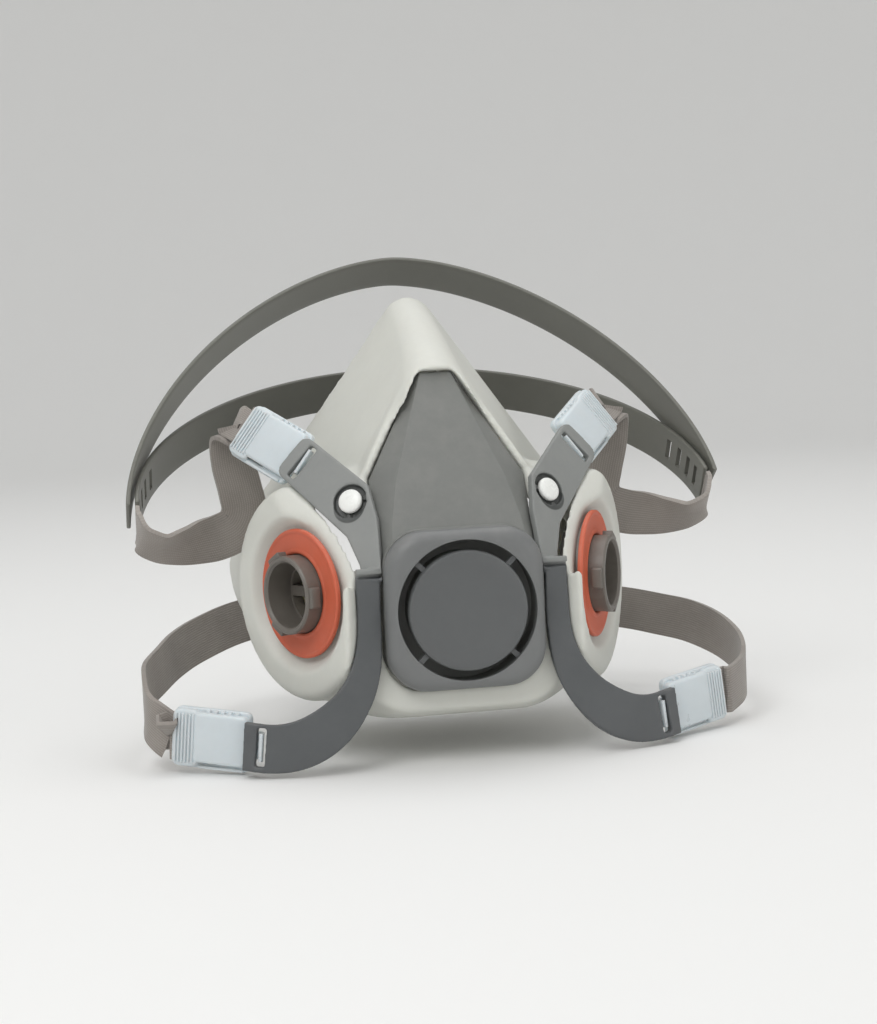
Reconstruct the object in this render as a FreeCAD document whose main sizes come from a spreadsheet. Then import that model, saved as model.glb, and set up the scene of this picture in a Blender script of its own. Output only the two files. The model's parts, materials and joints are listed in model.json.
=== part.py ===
import FreeCAD, Part
import Sketcher
import math
import os

# Half-mask respirator with two bayonet ports, an exhalation valve and a four-point harness.
# Millimetres. +X is the viewer's right, +Y goes back to the face, +Z is up.
# The origin lies in the middle of the face opening; "left" and "right" are as seen from the front.

os.makedirs("parts", exist_ok=True)

V = FreeCAD.Vector
SIDES = {"left": -1, "right": 1}

# ---------------------------------------------------------------- driving dimensions

SIZES = [
    # alias, value, what it is
    ("wall", 2.8, "wall of the moulded facepiece"),
    ("face_radius", 118, "radius of the face that the rim wraps round"),
    ("face_back", 12, "how far behind the origin the rim is at its middle"),
    ("lip_thick", 1.6, "thickness of the inturned face seal"),
    ("fit_gap", 0.3, "clearance between pieces that slide past each other"),
    ("soft_gap", 0.5, "clearance round the nose panel in its pocket"),
    # stations of the facepiece, from the rim forwards
    ("rim_back", 42, "rim station"),
    ("rim_top", 67, "rim station, top of the nose"),
    ("rim_nose", 9, "rim station, nose radius"),
    ("rim_half", 65, "rim station, half width"),
    ("rim_low", 60, "rim station, depth of the chin"),
    ("rim_cheek", 34, "rim station, cheek radius"),
    ("cheek_back", 10, "cheek station"),
    ("cheek_top", 64.5, "cheek station, top of the nose"),
    ("cheek_nose", 9, "cheek station, nose radius"),
    ("cheek_half", 63, "cheek station, half width"),
    ("cheek_low", 62, "cheek station, depth of the chin"),
    ("cheek_cheek", 33, "cheek station, cheek radius"),
    ("mid_back", -22, "middle station"),
    ("mid_top", 51, "middle station, top of the nose"),
    ("mid_nose", 10, "middle station, nose radius"),
    ("mid_half", 57, "middle station, half width"),
    ("mid_low", 67, "middle station, depth of the chin"),
    ("mid_cheek", 30, "middle station, cheek radius"),
    ("muzzle_back", -48, "muzzle station"),
    ("muzzle_top", 33, "muzzle station, top of the nose"),
    ("muzzle_nose", 14, "muzzle station, nose radius"),
    ("muzzle_half", 44, "muzzle station, half width"),
    ("muzzle_low", 68, "muzzle station, depth of the chin"),
    ("muzzle_cheek", 24, "muzzle station, cheek radius"),
    ("front_back", -64.8, "front station, the floor that the yokes lie on"),
    ("front_top", 4, "front station, top"),
    ("front_nose", 18, "front station, top radius"),
    ("front_half", 33, "front station, half width"),
    ("front_low", 63, "front station, depth of the chin"),
    ("front_cheek", 16, "front station, corner radius"),
    # exhalation valve
    ("valve_drop", 32, "valve axis below the origin"),
    ("valve_front", 75, "front of the valve disc, forward of the origin"),
    ("housing_half", 24.6, "half width of the square valve housing"),
    ("housing_corner", 12, "corner radius of the valve housing"),
    ("housing_front", 67.2, "front of the valve housing, forward of the origin"),
    ("housing_back", 58, "back of the valve housing"),
    ("duct_bore", 12.5, "radius of the air duct"),
    ("duct_outer", 15, "outer radius of the duct sleeve"),
    ("duct_back", 50, "back end of the duct sleeve, forward of the origin"),
    ("seat_radius", 16, "radius of the flap's chamber in the housing"),
    ("seat_front", 64.4, "valve seat, forward of the origin"),
    ("flap_radius", 14.8, "radius of the exhalation flap"),
    ("flap_thick", 0.8, "thickness of a valve flap"),
    ("flap_lift", 1.5, "travel of a valve flap"),
    ("peg_radius", 1.1, "radius of the peg that holds a flap"),
    ("peg_head", 2.2, "radius of the peg's head"),
    ("peg_head_high", 0.8, "thickness of the peg's head"),
    ("peg_gap", 0.25, "clearance of a flap on its peg"),
    ("web_width", 2.2, "width of a spoke in a valve web"),
    ("web_thick", 1.6, "thickness of a valve web"),
    ("hub_radius", 2.6, "radius of a web's hub"),
    # exhalation cover
    ("cover_back", 67.5, "back of the cover, forward of the origin"),
    ("cover_front", 73.6, "front of the cover's frame, forward of the origin"),
    ("cover_wall", 2.2, "wall of the cover"),
    ("cover_round", 3.6, "rounding of the cover's front edge"),
    ("disc_radius", 18.3, "radius of the centre disc"),
    ("slot_outer", 21.5, "outer radius of the ring of slots"),
    ("spoke_width", 1.8, "width of the cover's spokes"),
    ("disc_round", 0.6, "rounding of the disc's edge"),
    ("disc_root", 1, "how far the disc starts below the cover's front"),
    ("cover_clip", 7.2, "corner cut of the cover's hollow"),
    ("groove_inner", 17.4, "inner radius of the air groove in the housing"),
    ("groove_outer", 22.3, "outer radius of the air groove in the housing"),
    ("groove_back", 61.5, "floor of the air groove, forward of the origin"),
    # nose panel
    ("panel_top", 39, "top edge of the nose panel, above the origin"),
    ("panel_top_front", 36.2, "top edge of the nose panel, forward of the origin"),
    ("panel_tilt", 30, "lean of the nose panel from vertical, degrees"),
    ("panel_thick", 3.4, "thickness of the nose panel"),
    ("lip_rise", 0.6, "height of the lip above the panel"),
    ("lip_deep", 12, "how far the lip reaches into the facepiece"),
    ("valley_gap", 6.6, "room beside the valve housing, under the yokes"),
    ("draft_rise", 9, "height and width of the slope beside a yoke"),
    # filter ports
    ("port_half", 45.4, "port centre from the middle plane"),
    ("port_forward", 44.2, "port centre, forward of the origin"),
    ("port_drop", 27, "port centre below the origin"),
    ("port_angle", 61.5, "how far a port's axis turns outwards from straight ahead, degrees"),
    ("port_floor", 3, "thickness of the facepiece at the port"),
    ("recess_low", 21.2, "radius of the recess at the gasket"),
    ("recess_high", 24.6, "radius of the recess at the rim"),
    ("boss_radius", 34, "radius of the cheek boss at its rim"),
    ("boss_high", 4.5, "height of the boss rim above the port floor"),
    ("boss_round", 3.4, "rounding of the boss rim"),
    ("boss_foot", 38, "radius of the boss at its foot"),
    ("boss_deep", 26, "depth of the boss below the port floor"),
    ("boss_hollow", 27, "radius of the hollow behind the port"),
    ("collar_outer", 12.25, "outer radius of the bayonet collar"),
    ("collar_bore", 10.25, "bore radius of the bayonet collar"),
    ("collar_high", 8.2, "height of the collar above the port floor"),
    ("collar_low", 5, "depth of the collar below the port floor"),
    ("ledge_low", 1, "ledge in the bore that carries the web, below the port floor"),
    ("ledge_bore", 9.4, "bore radius below the ledge"),
    ("port_web_width", 3.4, "width of a spoke in the port's web"),
    ("port_web_thick", 2.2, "thickness of the port's web"),
    ("lug_reach", 13.6, "radius over the bayonet lugs"),
    ("lug_width", 6.4, "width of a bayonet lug"),
    ("lug_thick", 3.2, "thickness of a bayonet lug"),
    ("lug_below_rim", 0.6, "lug below the collar's rim"),
    ("flange_radius", 18, "radius of the collar's outer flange"),
    ("flange_thick", 1.5, "thickness of the outer flange"),
    ("gasket_outer", 20.3, "outer radius of the port gasket"),
    ("gasket_thick", 1.6, "thickness of the port gasket"),
    ("gasket_round", 0.5, "rounding of the gasket"),
    ("ring_outer", 17.5, "outer radius of the clamp ring"),
    ("ring_notch", 3, "width of a notch in the clamp ring"),
    ("ring_notch_deep", 1.6, "depth of a notch in the clamp ring"),
    ("inlet_flap", 11.6, "radius of the inhalation flap"),
    ("flap_seat_gap", 0.1, "flap to seat when closed"),
    # yokes
    ("stud_half", 31.6, "yoke stud from the middle plane"),
    ("stud_forward", 53.1, "yoke stud, forward of the origin"),
    ("stud_high", 1.6, "yoke stud above the origin"),
    ("stud_head", 3.8, "radius of the stud's head"),
    ("stud_head_high", 2.0, "height of the stud's head above the yoke"),
    ("stud_shank", 2.4, "radius of the stud's shank"),
    ("stud_deep", 5, "length of the shank below the yoke"),
    ("stud_ring", 5.5, "radius of the sunk ring round the stud"),
    ("stud_ring_deep", 1.6, "depth of the sunk ring"),
    ("pad_radius", 6.5, "radius of the facepiece's post behind the yoke"),
    ("pad_deep", 14, "length of that post"),
    ("yoke_thick", 2.4, "thickness of a yoke arm"),
    ("yoke_half", 7.4, "half width of the yoke's arms"),
    ("yoke_end", 27.8, "end of the upper arm from the stud"),
    ("yoke_bar", 4.0, "width of the bar that a buckle hooks on"),
    ("slot_width", 3.05, "width of a buckle slot"),
    ("slot_half", 5.9, "half length of a buckle slot"),
    ("yoke_corner", 3, "corner radius at the end of the upper arm"),
    ("crease_high", 18.2, "top of the bar at the yoke's crease, below the origin"),
    ("crease_bar", 1.7, "height of the bar at the crease"),
    ("crease_rise", 0.7, "how far that bar stands proud"),
    ("crease_groove", 1.2, "height and depth of the groove under the bar"),
    # buckles
    ("hook_half", 4.3, "half width of a buckle's hook"),
    ("hook_inner", 3, "inner radius of a buckle's hook"),
    ("hook_thick", 1.1, "thickness of a buckle's hook"),
    ("buckle_half", 9.4, "half width of a buckle"),
    ("buckle_long", 27.5, "far end of a buckle from the bar it hooks on"),
    ("buckle_near", 1.9, "near end of a buckle's frame from that bar"),
    ("buckle_high", 4.8, "depth of a buckle"),
    ("buckle_top", -1.6, "front of a buckle's frame, off the plane of the bar it hooks on"),
    ("buckle_corner", 2.2, "corner radius of a buckle"),
    ("buckle_roof", 1.3, "thickness of a buckle's roof"),
    ("buckle_lead", 2.4, "solid end of a buckle, next to its hook"),
    ("buckle_window", 3.2, "width of the window in a buckle's floor"),
    ("buckle_window_at", 10.6, "window from the near end of a buckle"),
    ("rib_width", 0.9, "width of a rib on a buckle"),
    ("rib_high", 0.6, "height of a rib on a buckle"),
    ("rib_pitch", 1.7, "pitch of the ribs on a buckle"),
    ("hook_rise", 0.9, "tip of a buckle's hook, off the middle of its bar"),
    ("buckle_rail", 1.5, "width of a buckle's side rail"),
    ("buckle_floor", 1.2, "thickness of a buckle's floor"),
    # harness
    ("strap_width", 15, "width of the elastic strap"),
    ("strap_thick", 1.4, "thickness of the elastic strap"),
    ("strap_lead", 1.5, "straight start of a strap, off its buckle"),
    ("strap_level", -4.05, "strap's middle in the buckle, off the plane of the bar it hooks on"),
    ("band_width", 15, "width of the head cradle's bands"),
    ("band_thick", 1.4, "thickness of the head cradle's bands"),
    ("junction_forward", 13.3, "where the bands meet, forward of the origin"),
    ("junction_drop", 3.9, "where the bands meet, below the origin"),
    ("rear_half", 96, "half width of the rear band"),
    ("rear_reach", 76, "reach of the rear band from the junctions"),
    ("rear_lean", 60, "lean of the rear band's plane from vertical, degrees"),
    ("crown_half", 99, "half width of the crown band"),
    ("crown_reach", 98, "reach of the crown band from the junctions"),
    ("crown_lean", 36, "lean of the crown band's plane from vertical, degrees"),
    ("crown_power", 1.7, "squareness of the crown band's arch"),
    ("crown_start", 3, "where the crown band's ends begin above the junctions"),
    ("adjust_pitch", 5.6, "pitch of the adjusting slots"),
    ("adjust_width", 2.2, "width of an adjusting slot"),
    ("adjust_long", 7.5, "length of an adjusting slot"),
    ("cradle_peg", 0.9, "radius of the pegs that pin the crown band to the rear band"),
    ("cradle_peg_head", 1.7, "radius of a cradle peg's head"),
    ("cradle_peg_end", 97, "outer end of a cradle peg, from the middle plane"),
    ("clasp_half", 10, "half width of the neck clasp"),
    ("clasp_long", 16, "length of one half of the neck clasp"),
    ("clasp_thick", 3.2, "thickness of the neck clasp"),
    ("clasp_corner", 2.4, "corner radius of the neck clasp"),
    ("clasp_slot", 3, "width of the strap slot in the neck clasp"),
    ("clasp_bar", 1.6, "bar of the neck clasp beside that slot"),
    ("clasp_rim", 2, "rim of the neck clasp beside its slots"),
]

doc = FreeCAD.newDocument("half_mask")
sheet = doc.addObject("Spreadsheet::Sheet", "sizes")
for line, (alias, number, meaning) in enumerate(SIZES, start=1):
    sheet.set(f"A{line}", meaning)
    sheet.set(f"B{line}", str(number))
    sheet.setAlias(f"B{line}", alias)
doc.recompute()


def number_of(formula):
    """Value of a formula written with the sheet's aliases, such as sizes.wall * 2."""
    value = sheet.evalExpression(formula)
    return float(getattr(value, "Value", value))


def size(alias):
    return number_of("sizes." + alias)


# ---------------------------------------------------------------- helpers

NODES = []


def keep(feature, label, placement=None):
    """Make a feature one of the part's nodes."""
    feature.Label = label
    if placement is not None:
        feature.Placement = placement
    NODES.append(feature)
    return feature


def solid_feature(name, shape):
    feature = doc.addObject("Part::Feature", name)
    feature.Shape = shape
    return feature


def origin_plane(body, role):
    return next(item for item in body.Origin.OriginFeatures if item.Role == role)


def formula_sketch(body, name, role, corners, offset="0"):
    """Closed outline whose corner coordinates are formulas on the sheet."""
    sketch = body.newObject("Sketcher::SketchObject", name)
    sketch.AttachmentSupport = [(origin_plane(body, role), "")]
    sketch.MapMode = "FlatFace"
    sketch.setExpression("AttachmentOffset.Base.z", offset)
    values = [(number_of(first), number_of(second)) for first, second in corners]
    count = len(values)
    for index, (first, second) in enumerate(values):
        last = values[(index + 1) % count]
        sketch.addGeometry(Part.LineSegment(V(first, second, 0), V(last[0], last[1], 0)))
    for index in range(count):
        sketch.addConstraint(Sketcher.Constraint("Coincident", index, 2, (index + 1) % count, 1))
    for index, corner in enumerate(corners):
        for kind, formula, value in zip(("DistanceX", "DistanceY"), corner, values[index]):
            spot = sketch.addConstraint(Sketcher.Constraint(kind, -1, 1, index, 1, value))
            sketch.setExpression(f"Constraints[{spot}]", formula)
    return sketch


def circle_sketch(body, name, role, radius, offset="0"):
    sketch = body.newObject("Sketcher::SketchObject", name)
    sketch.AttachmentSupport = [(origin_plane(body, role), "")]
    sketch.MapMode = "FlatFace"
    sketch.setExpression("AttachmentOffset.Base.z", offset)
    sketch.addGeometry(Part.Circle(V(0, 0, 0), V(0, 0, 1), number_of(radius)))
    sketch.addConstraint(Sketcher.Constraint("Coincident", 0, 3, -1, 1))
    spot = sketch.addConstraint(Sketcher.Constraint("Radius", 0, number_of(radius)))
    sketch.setExpression(f"Constraints[{spot}]", radius)
    return sketch


def revolve(body, name, corners):
    """Turn an outline of (radius, height) formulas about the body's own Z axis."""
    sketch = formula_sketch(body, name + "_section", "XZ_Plane", corners)
    turned = body.newObject("PartDesign::Revolution", name)
    turned.Profile = sketch
    turned.ReferenceAxis = (sketch, ["V_Axis"])
    turned.Angle = 360
    return turned


def pad(body, name, sketch, length):
    """Extrude a sketch along its normal by a formula's length."""
    block = body.newObject("PartDesign::Pad", name)
    block.Profile = sketch
    block.setExpression("Length", length)
    return block


def pocket(body, name, sketch, length, backwards=False):
    """Cut a sketch's outline along the sketch's negative normal, or the other way."""
    before = volume_of(body)
    hole = body.newObject("PartDesign::Pocket", name)
    hole.Profile = sketch
    hole.setExpression("Length", length)
    hole.Reversed = backwards
    doc.recompute()
    if volume_of(body) >= before - 1e-6:
        raise RuntimeError(f"{body.Name}: {name} cuts nothing")
    return hole


def volume_of(body):
    doc.recompute()
    return body.Shape.Volume


def polar(body, name, feature, count):
    """Repeat a feature round the body's Z axis."""
    pattern = body.newObject("PartDesign::PolarPattern", name)
    pattern.Originals = [feature]
    pattern.Axis = (origin_plane(body, "Z_Axis"), [""])
    pattern.Angle = 360
    pattern.Occurrences = count
    body.Tip = pattern
    doc.recompute()
    return pattern


def round_edges(body, name, feature, radius, choose):
    """Fillet the edges of a feature that the choose function picks."""
    doc.recompute()
    edges = feature.Shape.Edges
    picked = [f"Edge{index + 1}" for index, edge in enumerate(edges) if choose(edge)]
    rounding = body.newObject("PartDesign::Fillet", name)
    rounding.Base = (feature, picked)
    rounding.setExpression("Radius", radius)
    return rounding


def frame_at(origin, x_axis, y_axis, z_axis):
    """Placement whose own axes point along the three given directions."""
    matrix = FreeCAD.Matrix(
        x_axis.x, y_axis.x, z_axis.x, origin.x,
        x_axis.y, y_axis.y, z_axis.y, origin.y,
        x_axis.z, y_axis.z, z_axis.z, origin.z,
        0, 0, 0, 1)
    return FreeCAD.Placement(matrix)


def unit(vector):
    return vector.normalize() if vector.Length > 0 else vector


def mirrored(vector, side):
    return V(vector.x * side, vector.y, vector.z)


# ---------------------------------------------------------------- places

UP = V(0, 0, 1)
VALVE = V(0, 0, -size("valve_drop"))
# The valve's own Z axis points forwards, its Y axis up.
VALVE_PLACE = frame_at(VALVE, V(1, 0, 0), UP, V(0, -1, 0))


def port_axis(side):
    turn = math.radians(size("port_angle"))
    return V(side * math.sin(turn), -math.cos(turn), 0)


def port_place(side):
    """Own Z outwards along the port's axis, own Y up, origin on the port floor."""
    spot = V(side * size("port_half"), -size("port_forward"), -size("port_drop"))
    out = port_axis(side)
    return frame_at(spot, UP.cross(out), UP, out)


# The upper arm lies in one plane: along runs from the stud to the slot, across is its width.
ARM_OUT = unit(V(0.474, -0.781, 0.407))
ARM_ALONG = unit(V(0.568, 0.624, 0.535))
ARM_ACROSS = unit(ARM_OUT.cross(ARM_ALONG))
ARM_ALONG = unit(ARM_ACROSS.cross(ARM_OUT))


def arm_place(side):
    """Own Z out of the yoke's back face at the stud, own X along the arm."""
    out = mirrored(ARM_OUT, side)
    along = mirrored(ARM_ALONG, side)
    spot = V(side * size("stud_half"), -size("stud_forward"), size("stud_high"))
    spot = spot - out * size("yoke_thick")
    return frame_at(spot, along, out.cross(along), out)


# ---------------------------------------------------------------- facepiece


def rounded_triangle(back, top, nose, half, low, cheek):
    """Closed wire in a plane across the face: a nose arc, two cheek arcs and tangent sides."""
    nose_centre = V(0, back, top - nose)
    cheek_centre = V(half - cheek, back, -low + cheek)
    across = cheek_centre - nose_centre
    lean = math.atan2(across.z, across.x) + math.acos((nose - cheek) / across.Length)
    side_out = V(math.cos(lean), 0, math.sin(lean))
    high = nose_centre + side_out * nose
    wide = cheek_centre + side_out * cheek
    turn = (lean - math.pi / 2) / 2
    corner = cheek_centre + V(math.cos(turn), 0, math.sin(turn)) * cheek
    foot = V(half - cheek, back, -low)

    def other(point):
        return V(-point.x, point.y, point.z)

    edges = [
        Part.Arc(other(high), V(0, back, top), high).toShape(),
        Part.LineSegment(high, wide).toShape(),
        Part.Arc(wide, corner, foot).toShape(),
        Part.LineSegment(foot, other(foot)).toShape(),
        Part.Arc(other(foot), other(corner), other(wide)).toShape(),
        Part.LineSegment(other(wide), other(high)).toShape(),
    ]
    return Part.Wire(edges)


STATIONS = ("rim", "cheek", "mid", "muzzle", "front")


def station_wire(station, inset):
    """One section of the facepiece, moved inwards by inset."""
    nose = max(size(station + "_nose") - inset, 2)
    return rounded_triangle(
        size(station + "_back") + inset,
        size(station + "_top") - inset,
        nose,
        size(station + "_half") - inset,
        size(station + "_low") - inset,
        size(station + "_cheek") - inset)


# Nose panel, from its top down: height, half width of its flat front, half width of its outline,
# how far forward the outline is, and width of the lip beside it.
PANEL = [
    (39.5, 4.9, 5.5, 33.8, 3.6), (7, 17.2, 24.6, 47.5, 3.6), (-5, 20.0, 24.1, 57.0, 1.4),
    (-20, 22.0, 24.5, 64.5, 1.2),
]


def section_wire(height, corners):
    """Closed outline in a level plane from (across, back) corners."""
    points = [V(across, back, height) for across, back in corners]
    return Part.makePolygon(points + points[:1])


def panel_plate():
    """Nose panel: a flat front that leans back, with a sloping facet on each side."""
    lean = math.tan(math.radians(size("panel_tilt")))
    thick = size("panel_thick")
    wires = []
    for height, flat, edge, forward, lip in PANEL:
        front = size("panel_top_front") + lean * (size("panel_top") - height)
        wires.append(section_wire(height, [
            (-flat, -front), (flat, -front), (edge, -forward), (edge, thick - forward),
            (-edge, thick - forward), (-edge, -forward)]))
    return Part.makeLoft(wires, True, True)


def panel_room(grow, extra, front, back):
    """Block over the panel's outline, grown sideways, from its front to behind the outline."""
    top, shoulder = PANEL[0], PANEL[1]
    run = grow + extra * top[4]
    share = run / (top[0] - shoulder[0])
    cap = [top[index] + (top[index] - shoulder[index]) * share for index in range(4)] + [top[4]]
    wires = []
    for height, flat, edge, forward, lip in [cap] + PANEL:
        half = edge + grow + extra * lip
        near = front(forward)
        wires.append(section_wire(height, [
            (-half, -near), (half, -near), (half, back - forward), (-half, back - forward)]))
    return Part.makeLoft(wires, True, True)


def housing_block(half, corner, front, back):
    """Square block with round corners on the valve's axis, from back to front."""
    block = Part.makeBox(2 * half, 2 * half, front - back, V(-half, -half, back))
    uprights = [edge for edge in block.Edges if abs(edge.tangentAt(edge.FirstParameter).z) > 0.9]
    block = block.makeFillet(corner, uprights)
    block.Placement = VALVE_PLACE
    return block


def arm_outline(grow, side):
    """Upper arm's outline in its own plane, grown by a clearance; its inner edge is at +Y on the right."""
    half = size("yoke_half") + grow
    end = size("yoke_end") + grow
    points = [
        V(end, half, 0), V(end, -half, 0), V(-7, -9.2 - grow, 0), V(-16.3, -13.2 - grow, 0),
        V(-21.4, -16.4 - grow, 0), V(-26.2, -12.6 + grow, 0), V(-11.4, 0.9 + grow, 0), V(-1, half, 0),
    ]
    points = [V(point.x, point.y * side, 0) for point in points]
    return Part.Face(Part.makePolygon(points + points[:1]))


def sloping_room(start, end, width, away, out):
    """Straight room above an arm: starts as wide as given and leans out to the far side with height."""
    rise = size("draft_rise")
    along = unit(end - start)
    near = start - along
    corners = [near, near - away * width, near - away * width + out * rise, near + (away + out) * rise]
    return Part.Face(Part.makePolygon(corners + corners[:1])).extrude(end + along - near)


def arm_slopes(side):
    """Room beside the upper arm's outer edge, so the cheek falls away to the arm."""
    grow = size("fit_gap")
    low = size("yoke_thick") - grow
    half = size("yoke_half") + grow
    edge = [(size("yoke_end"), -half), (-7, -9.2 - grow), (-16.3, -13.2 - grow), (-21.4, -16.4 - grow)]
    points = [V(across, side * up, low) for across, up in edge]
    rooms = []
    for start, end in zip(points, points[1:]):
        away = unit((end - start).cross(V(0, 0, side)))
        rooms.append(placed(sloping_room(start, end, half, away, V(0, 0, 1)), arm_place(side)))
    return rooms


def placed(shape, placement):
    copy = shape.copy()
    copy.Placement = placement
    return copy


# ---------------------------------------------------------------- ribbons


def ribbon(stations, thickness):
    """Soft strip through stations of (middle, width direction, width), lofted smoothly."""
    wires = []
    count = len(stations)
    for index, (middle, across, width) in enumerate(stations):
        before = stations[max(index - 1, 0)][0]
        after = stations[min(index + 1, count - 1)][0]
        along = unit(after - before)
        across = unit(across - along * across.dot(along))
        out = along.cross(across) * (thickness / 2)
        edge = across * (width / 2)
        ring = [middle - edge - out, middle + edge - out, middle + edge + out, middle - edge + out]
        wires.append(Part.makePolygon(ring + ring[:1]))
    return Part.makeLoft(wires, True, False)


# Lower arm, right side: middle of its thickness and its width, from the crease down to its end bar.
LOWER_ARM = [
    (V(29.3, -66.0, -19.5), 7.0), (V(29.3, -66.0, -30), 7.2), (V(29.6, -66.3, -40), 7.6),
    (V(31.2, -67.2, -49), 9.0), (V(35.0, -68.2, -57), 11.0), (V(41.0, -68.0, -64), 13.2),
    (V(49.0, -66.4, -69.3), 14.6), (V(58.2, -63.4, -71.6), 14.8), (V(68.6, -59.2, -70.6), 14.8),
]


def lower_arm_across(index):
    """Width direction of the lower arm: sideways at the valve, upright at its end."""
    start = V(-1, 0, 0)
    end = V(0, 0.05, 1)
    share = min(max((index - 1) / 5, 0), 1)
    share = share * share * (3 - 2 * share)
    turn = share * math.pi / 2
    return start * math.cos(turn) + end * math.sin(turn)


def lower_arm(side, grow):
    """The lower arm as a ribbon, grown by a clearance."""
    stations = []
    for index, (middle, width) in enumerate(LOWER_ARM):
        across = mirrored(lower_arm_across(index), side)
        stations.append((mirrored(middle, side), across, width + 2 * grow))
    return ribbon(stations, size("yoke_thick") + 2 * grow)


def lower_arm_slopes(side):
    """Room in front of the lower arm, down to where it leaves the cheek."""
    points = []
    for index in range(6):
        middle, width = LOWER_ARM[index]
        away = lower_arm_across(index) * -1
        along = unit(LOWER_ARM[index + 1][0] - middle)
        away = unit(away - along * away.dot(along))
        out = away.cross(along)
        if out.y > 0:
            out = out * -1
        front = middle + out * (size("yoke_thick") / 2 - size("fit_gap"))
        points.append((front + away * (width / 2 + size("fit_gap")), width, away, out))
    rooms = []
    for (start, width, away, out), (end, *rest) in zip(points, points[1:]):
        corners = [mirrored(item, side) for item in (start, end, away, out)]
        rooms.append(sloping_room(corners[0], corners[1], width, corners[2], corners[3]))
    return rooms


def build_facepiece():
    wall = size("wall")
    outer = Part.makeLoft([station_wire(name, 0) for name in STATIONS], True, False)
    inner = Part.makeLoft([station_wire(name, wall) for name in STATIONS], True, False)
    surround = panel_room(0, 1, lambda forward: forward + size("lip_rise"), size("lip_deep"))
    outer = outer.fuse(surround)
    hollows = [inner]
    floor_cuts = []
    for side in SIDES.values():
        place = port_place(side)
        foot = -size("boss_deep")
        cone = Part.makeCone(size("boss_foot"), size("boss_radius"), size("boss_deep"), V(0, 0, foot))
        drum = Part.makeCylinder(size("boss_radius"), size("boss_high"))
        rim_edge = [edge for edge in drum.Edges if edge.BoundBox.ZMin > size("boss_high") - 0.01]
        drum = drum.makeFillet(size("boss_round"), rim_edge)
        boss = placed(cone.fuse(drum), place)
        hollow = Part.makeCone(
            size("boss_foot") - 2 * wall, size("boss_hollow"), size("boss_deep") - size("port_floor"),
            V(0, 0, foot))
        recess = Part.makeCone(size("recess_low"), size("recess_high"), size("boss_high"))
        bore = Part.makeCylinder(
            size("collar_outer") + size("fit_gap"), 2 * size("port_floor"), V(0, 0, -size("port_floor") - 1))
        outer = outer.fuse(boss)
        hollows.append(placed(hollow, place))
        floor_cuts.append(placed(recess, place))
        floor_cuts.append(placed(bore, place))
    for side in SIDES.values():
        place = arm_place(side)
        post = Part.makeCylinder(size("pad_radius"), size("pad_deep"), V(0, 0, -size("pad_deep")))
        outer = outer.fuse(placed(post, place))
    # Valley between each boss and the valve, and the channel that each upper arm lies in.
    valley_half = size("housing_half") + size("valley_gap")
    valley = Part.makeBox(2 * valley_half, 30, 90, V(-valley_half, size("front_back") - 30, -90 + 1))
    outer = outer.cut(valley)
    for side in SIDES.values():
        channel = arm_outline(size("fit_gap"), side).extrude(V(0, 0, 40))
        outer = outer.cut(placed(channel, arm_place(side)))
        outer = outer.cut(lower_arm(side, size("fit_gap")))
        for room in arm_slopes(side) + lower_arm_slopes(side):
            outer = outer.cut(room)
    cavity = hollows[0].fuse(hollows[1:])
    rim_gap = size("face_radius")
    centre = V(0, size("face_back") + rim_gap, -150)
    face = Part.makeCylinder(rim_gap, 300, centre)
    lining = Part.makeCylinder(rim_gap + size("lip_thick"), 300, centre).cut(face)
    aperture = rounded_triangle(-100, 47, 6, 46, 45, 25)
    aperture = Part.Face(aperture).extrude(V(0, 200, 0))
    lip = outer.common(lining).cut(aperture)
    shell = outer.cut(cavity).cut(face).fuse(lip)
    panel_pocket = panel_room(
        size("soft_gap"), 0, lambda forward: forward + size("lip_deep"),
        size("panel_thick") + size("soft_gap") / 2)
    seat = housing_block(
        size("housing_half") + size("fit_gap"), size("housing_corner"), size("valve_front") + 10,
        size("housing_back") - size("fit_gap"))
    duct = Part.makeCylinder(size("duct_outer") + size("fit_gap"), 60)
    duct.Placement = FreeCAD.Placement(V(0, -20, -size("valve_drop")), FreeCAD.Rotation(V(1, 0, 0), 90))
    for tool in [panel_pocket, seat, duct] + floor_cuts:
        shell = shell.cut(tool)
    for side in SIDES.values():
        shank = Part.makeCylinder(
            size("stud_shank"), size("stud_deep") + 1, V(0, 0, -size("stud_deep")))
        shell = shell.cut(placed(shank, arm_place(side)))
    largest = max(shell.Solids, key=lambda solid: solid.Volume)
    return largest


keep(solid_feature("facepiece", build_facepiece()), "facepiece")

# ---------------------------------------------------------------- front frame and nose panel


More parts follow.
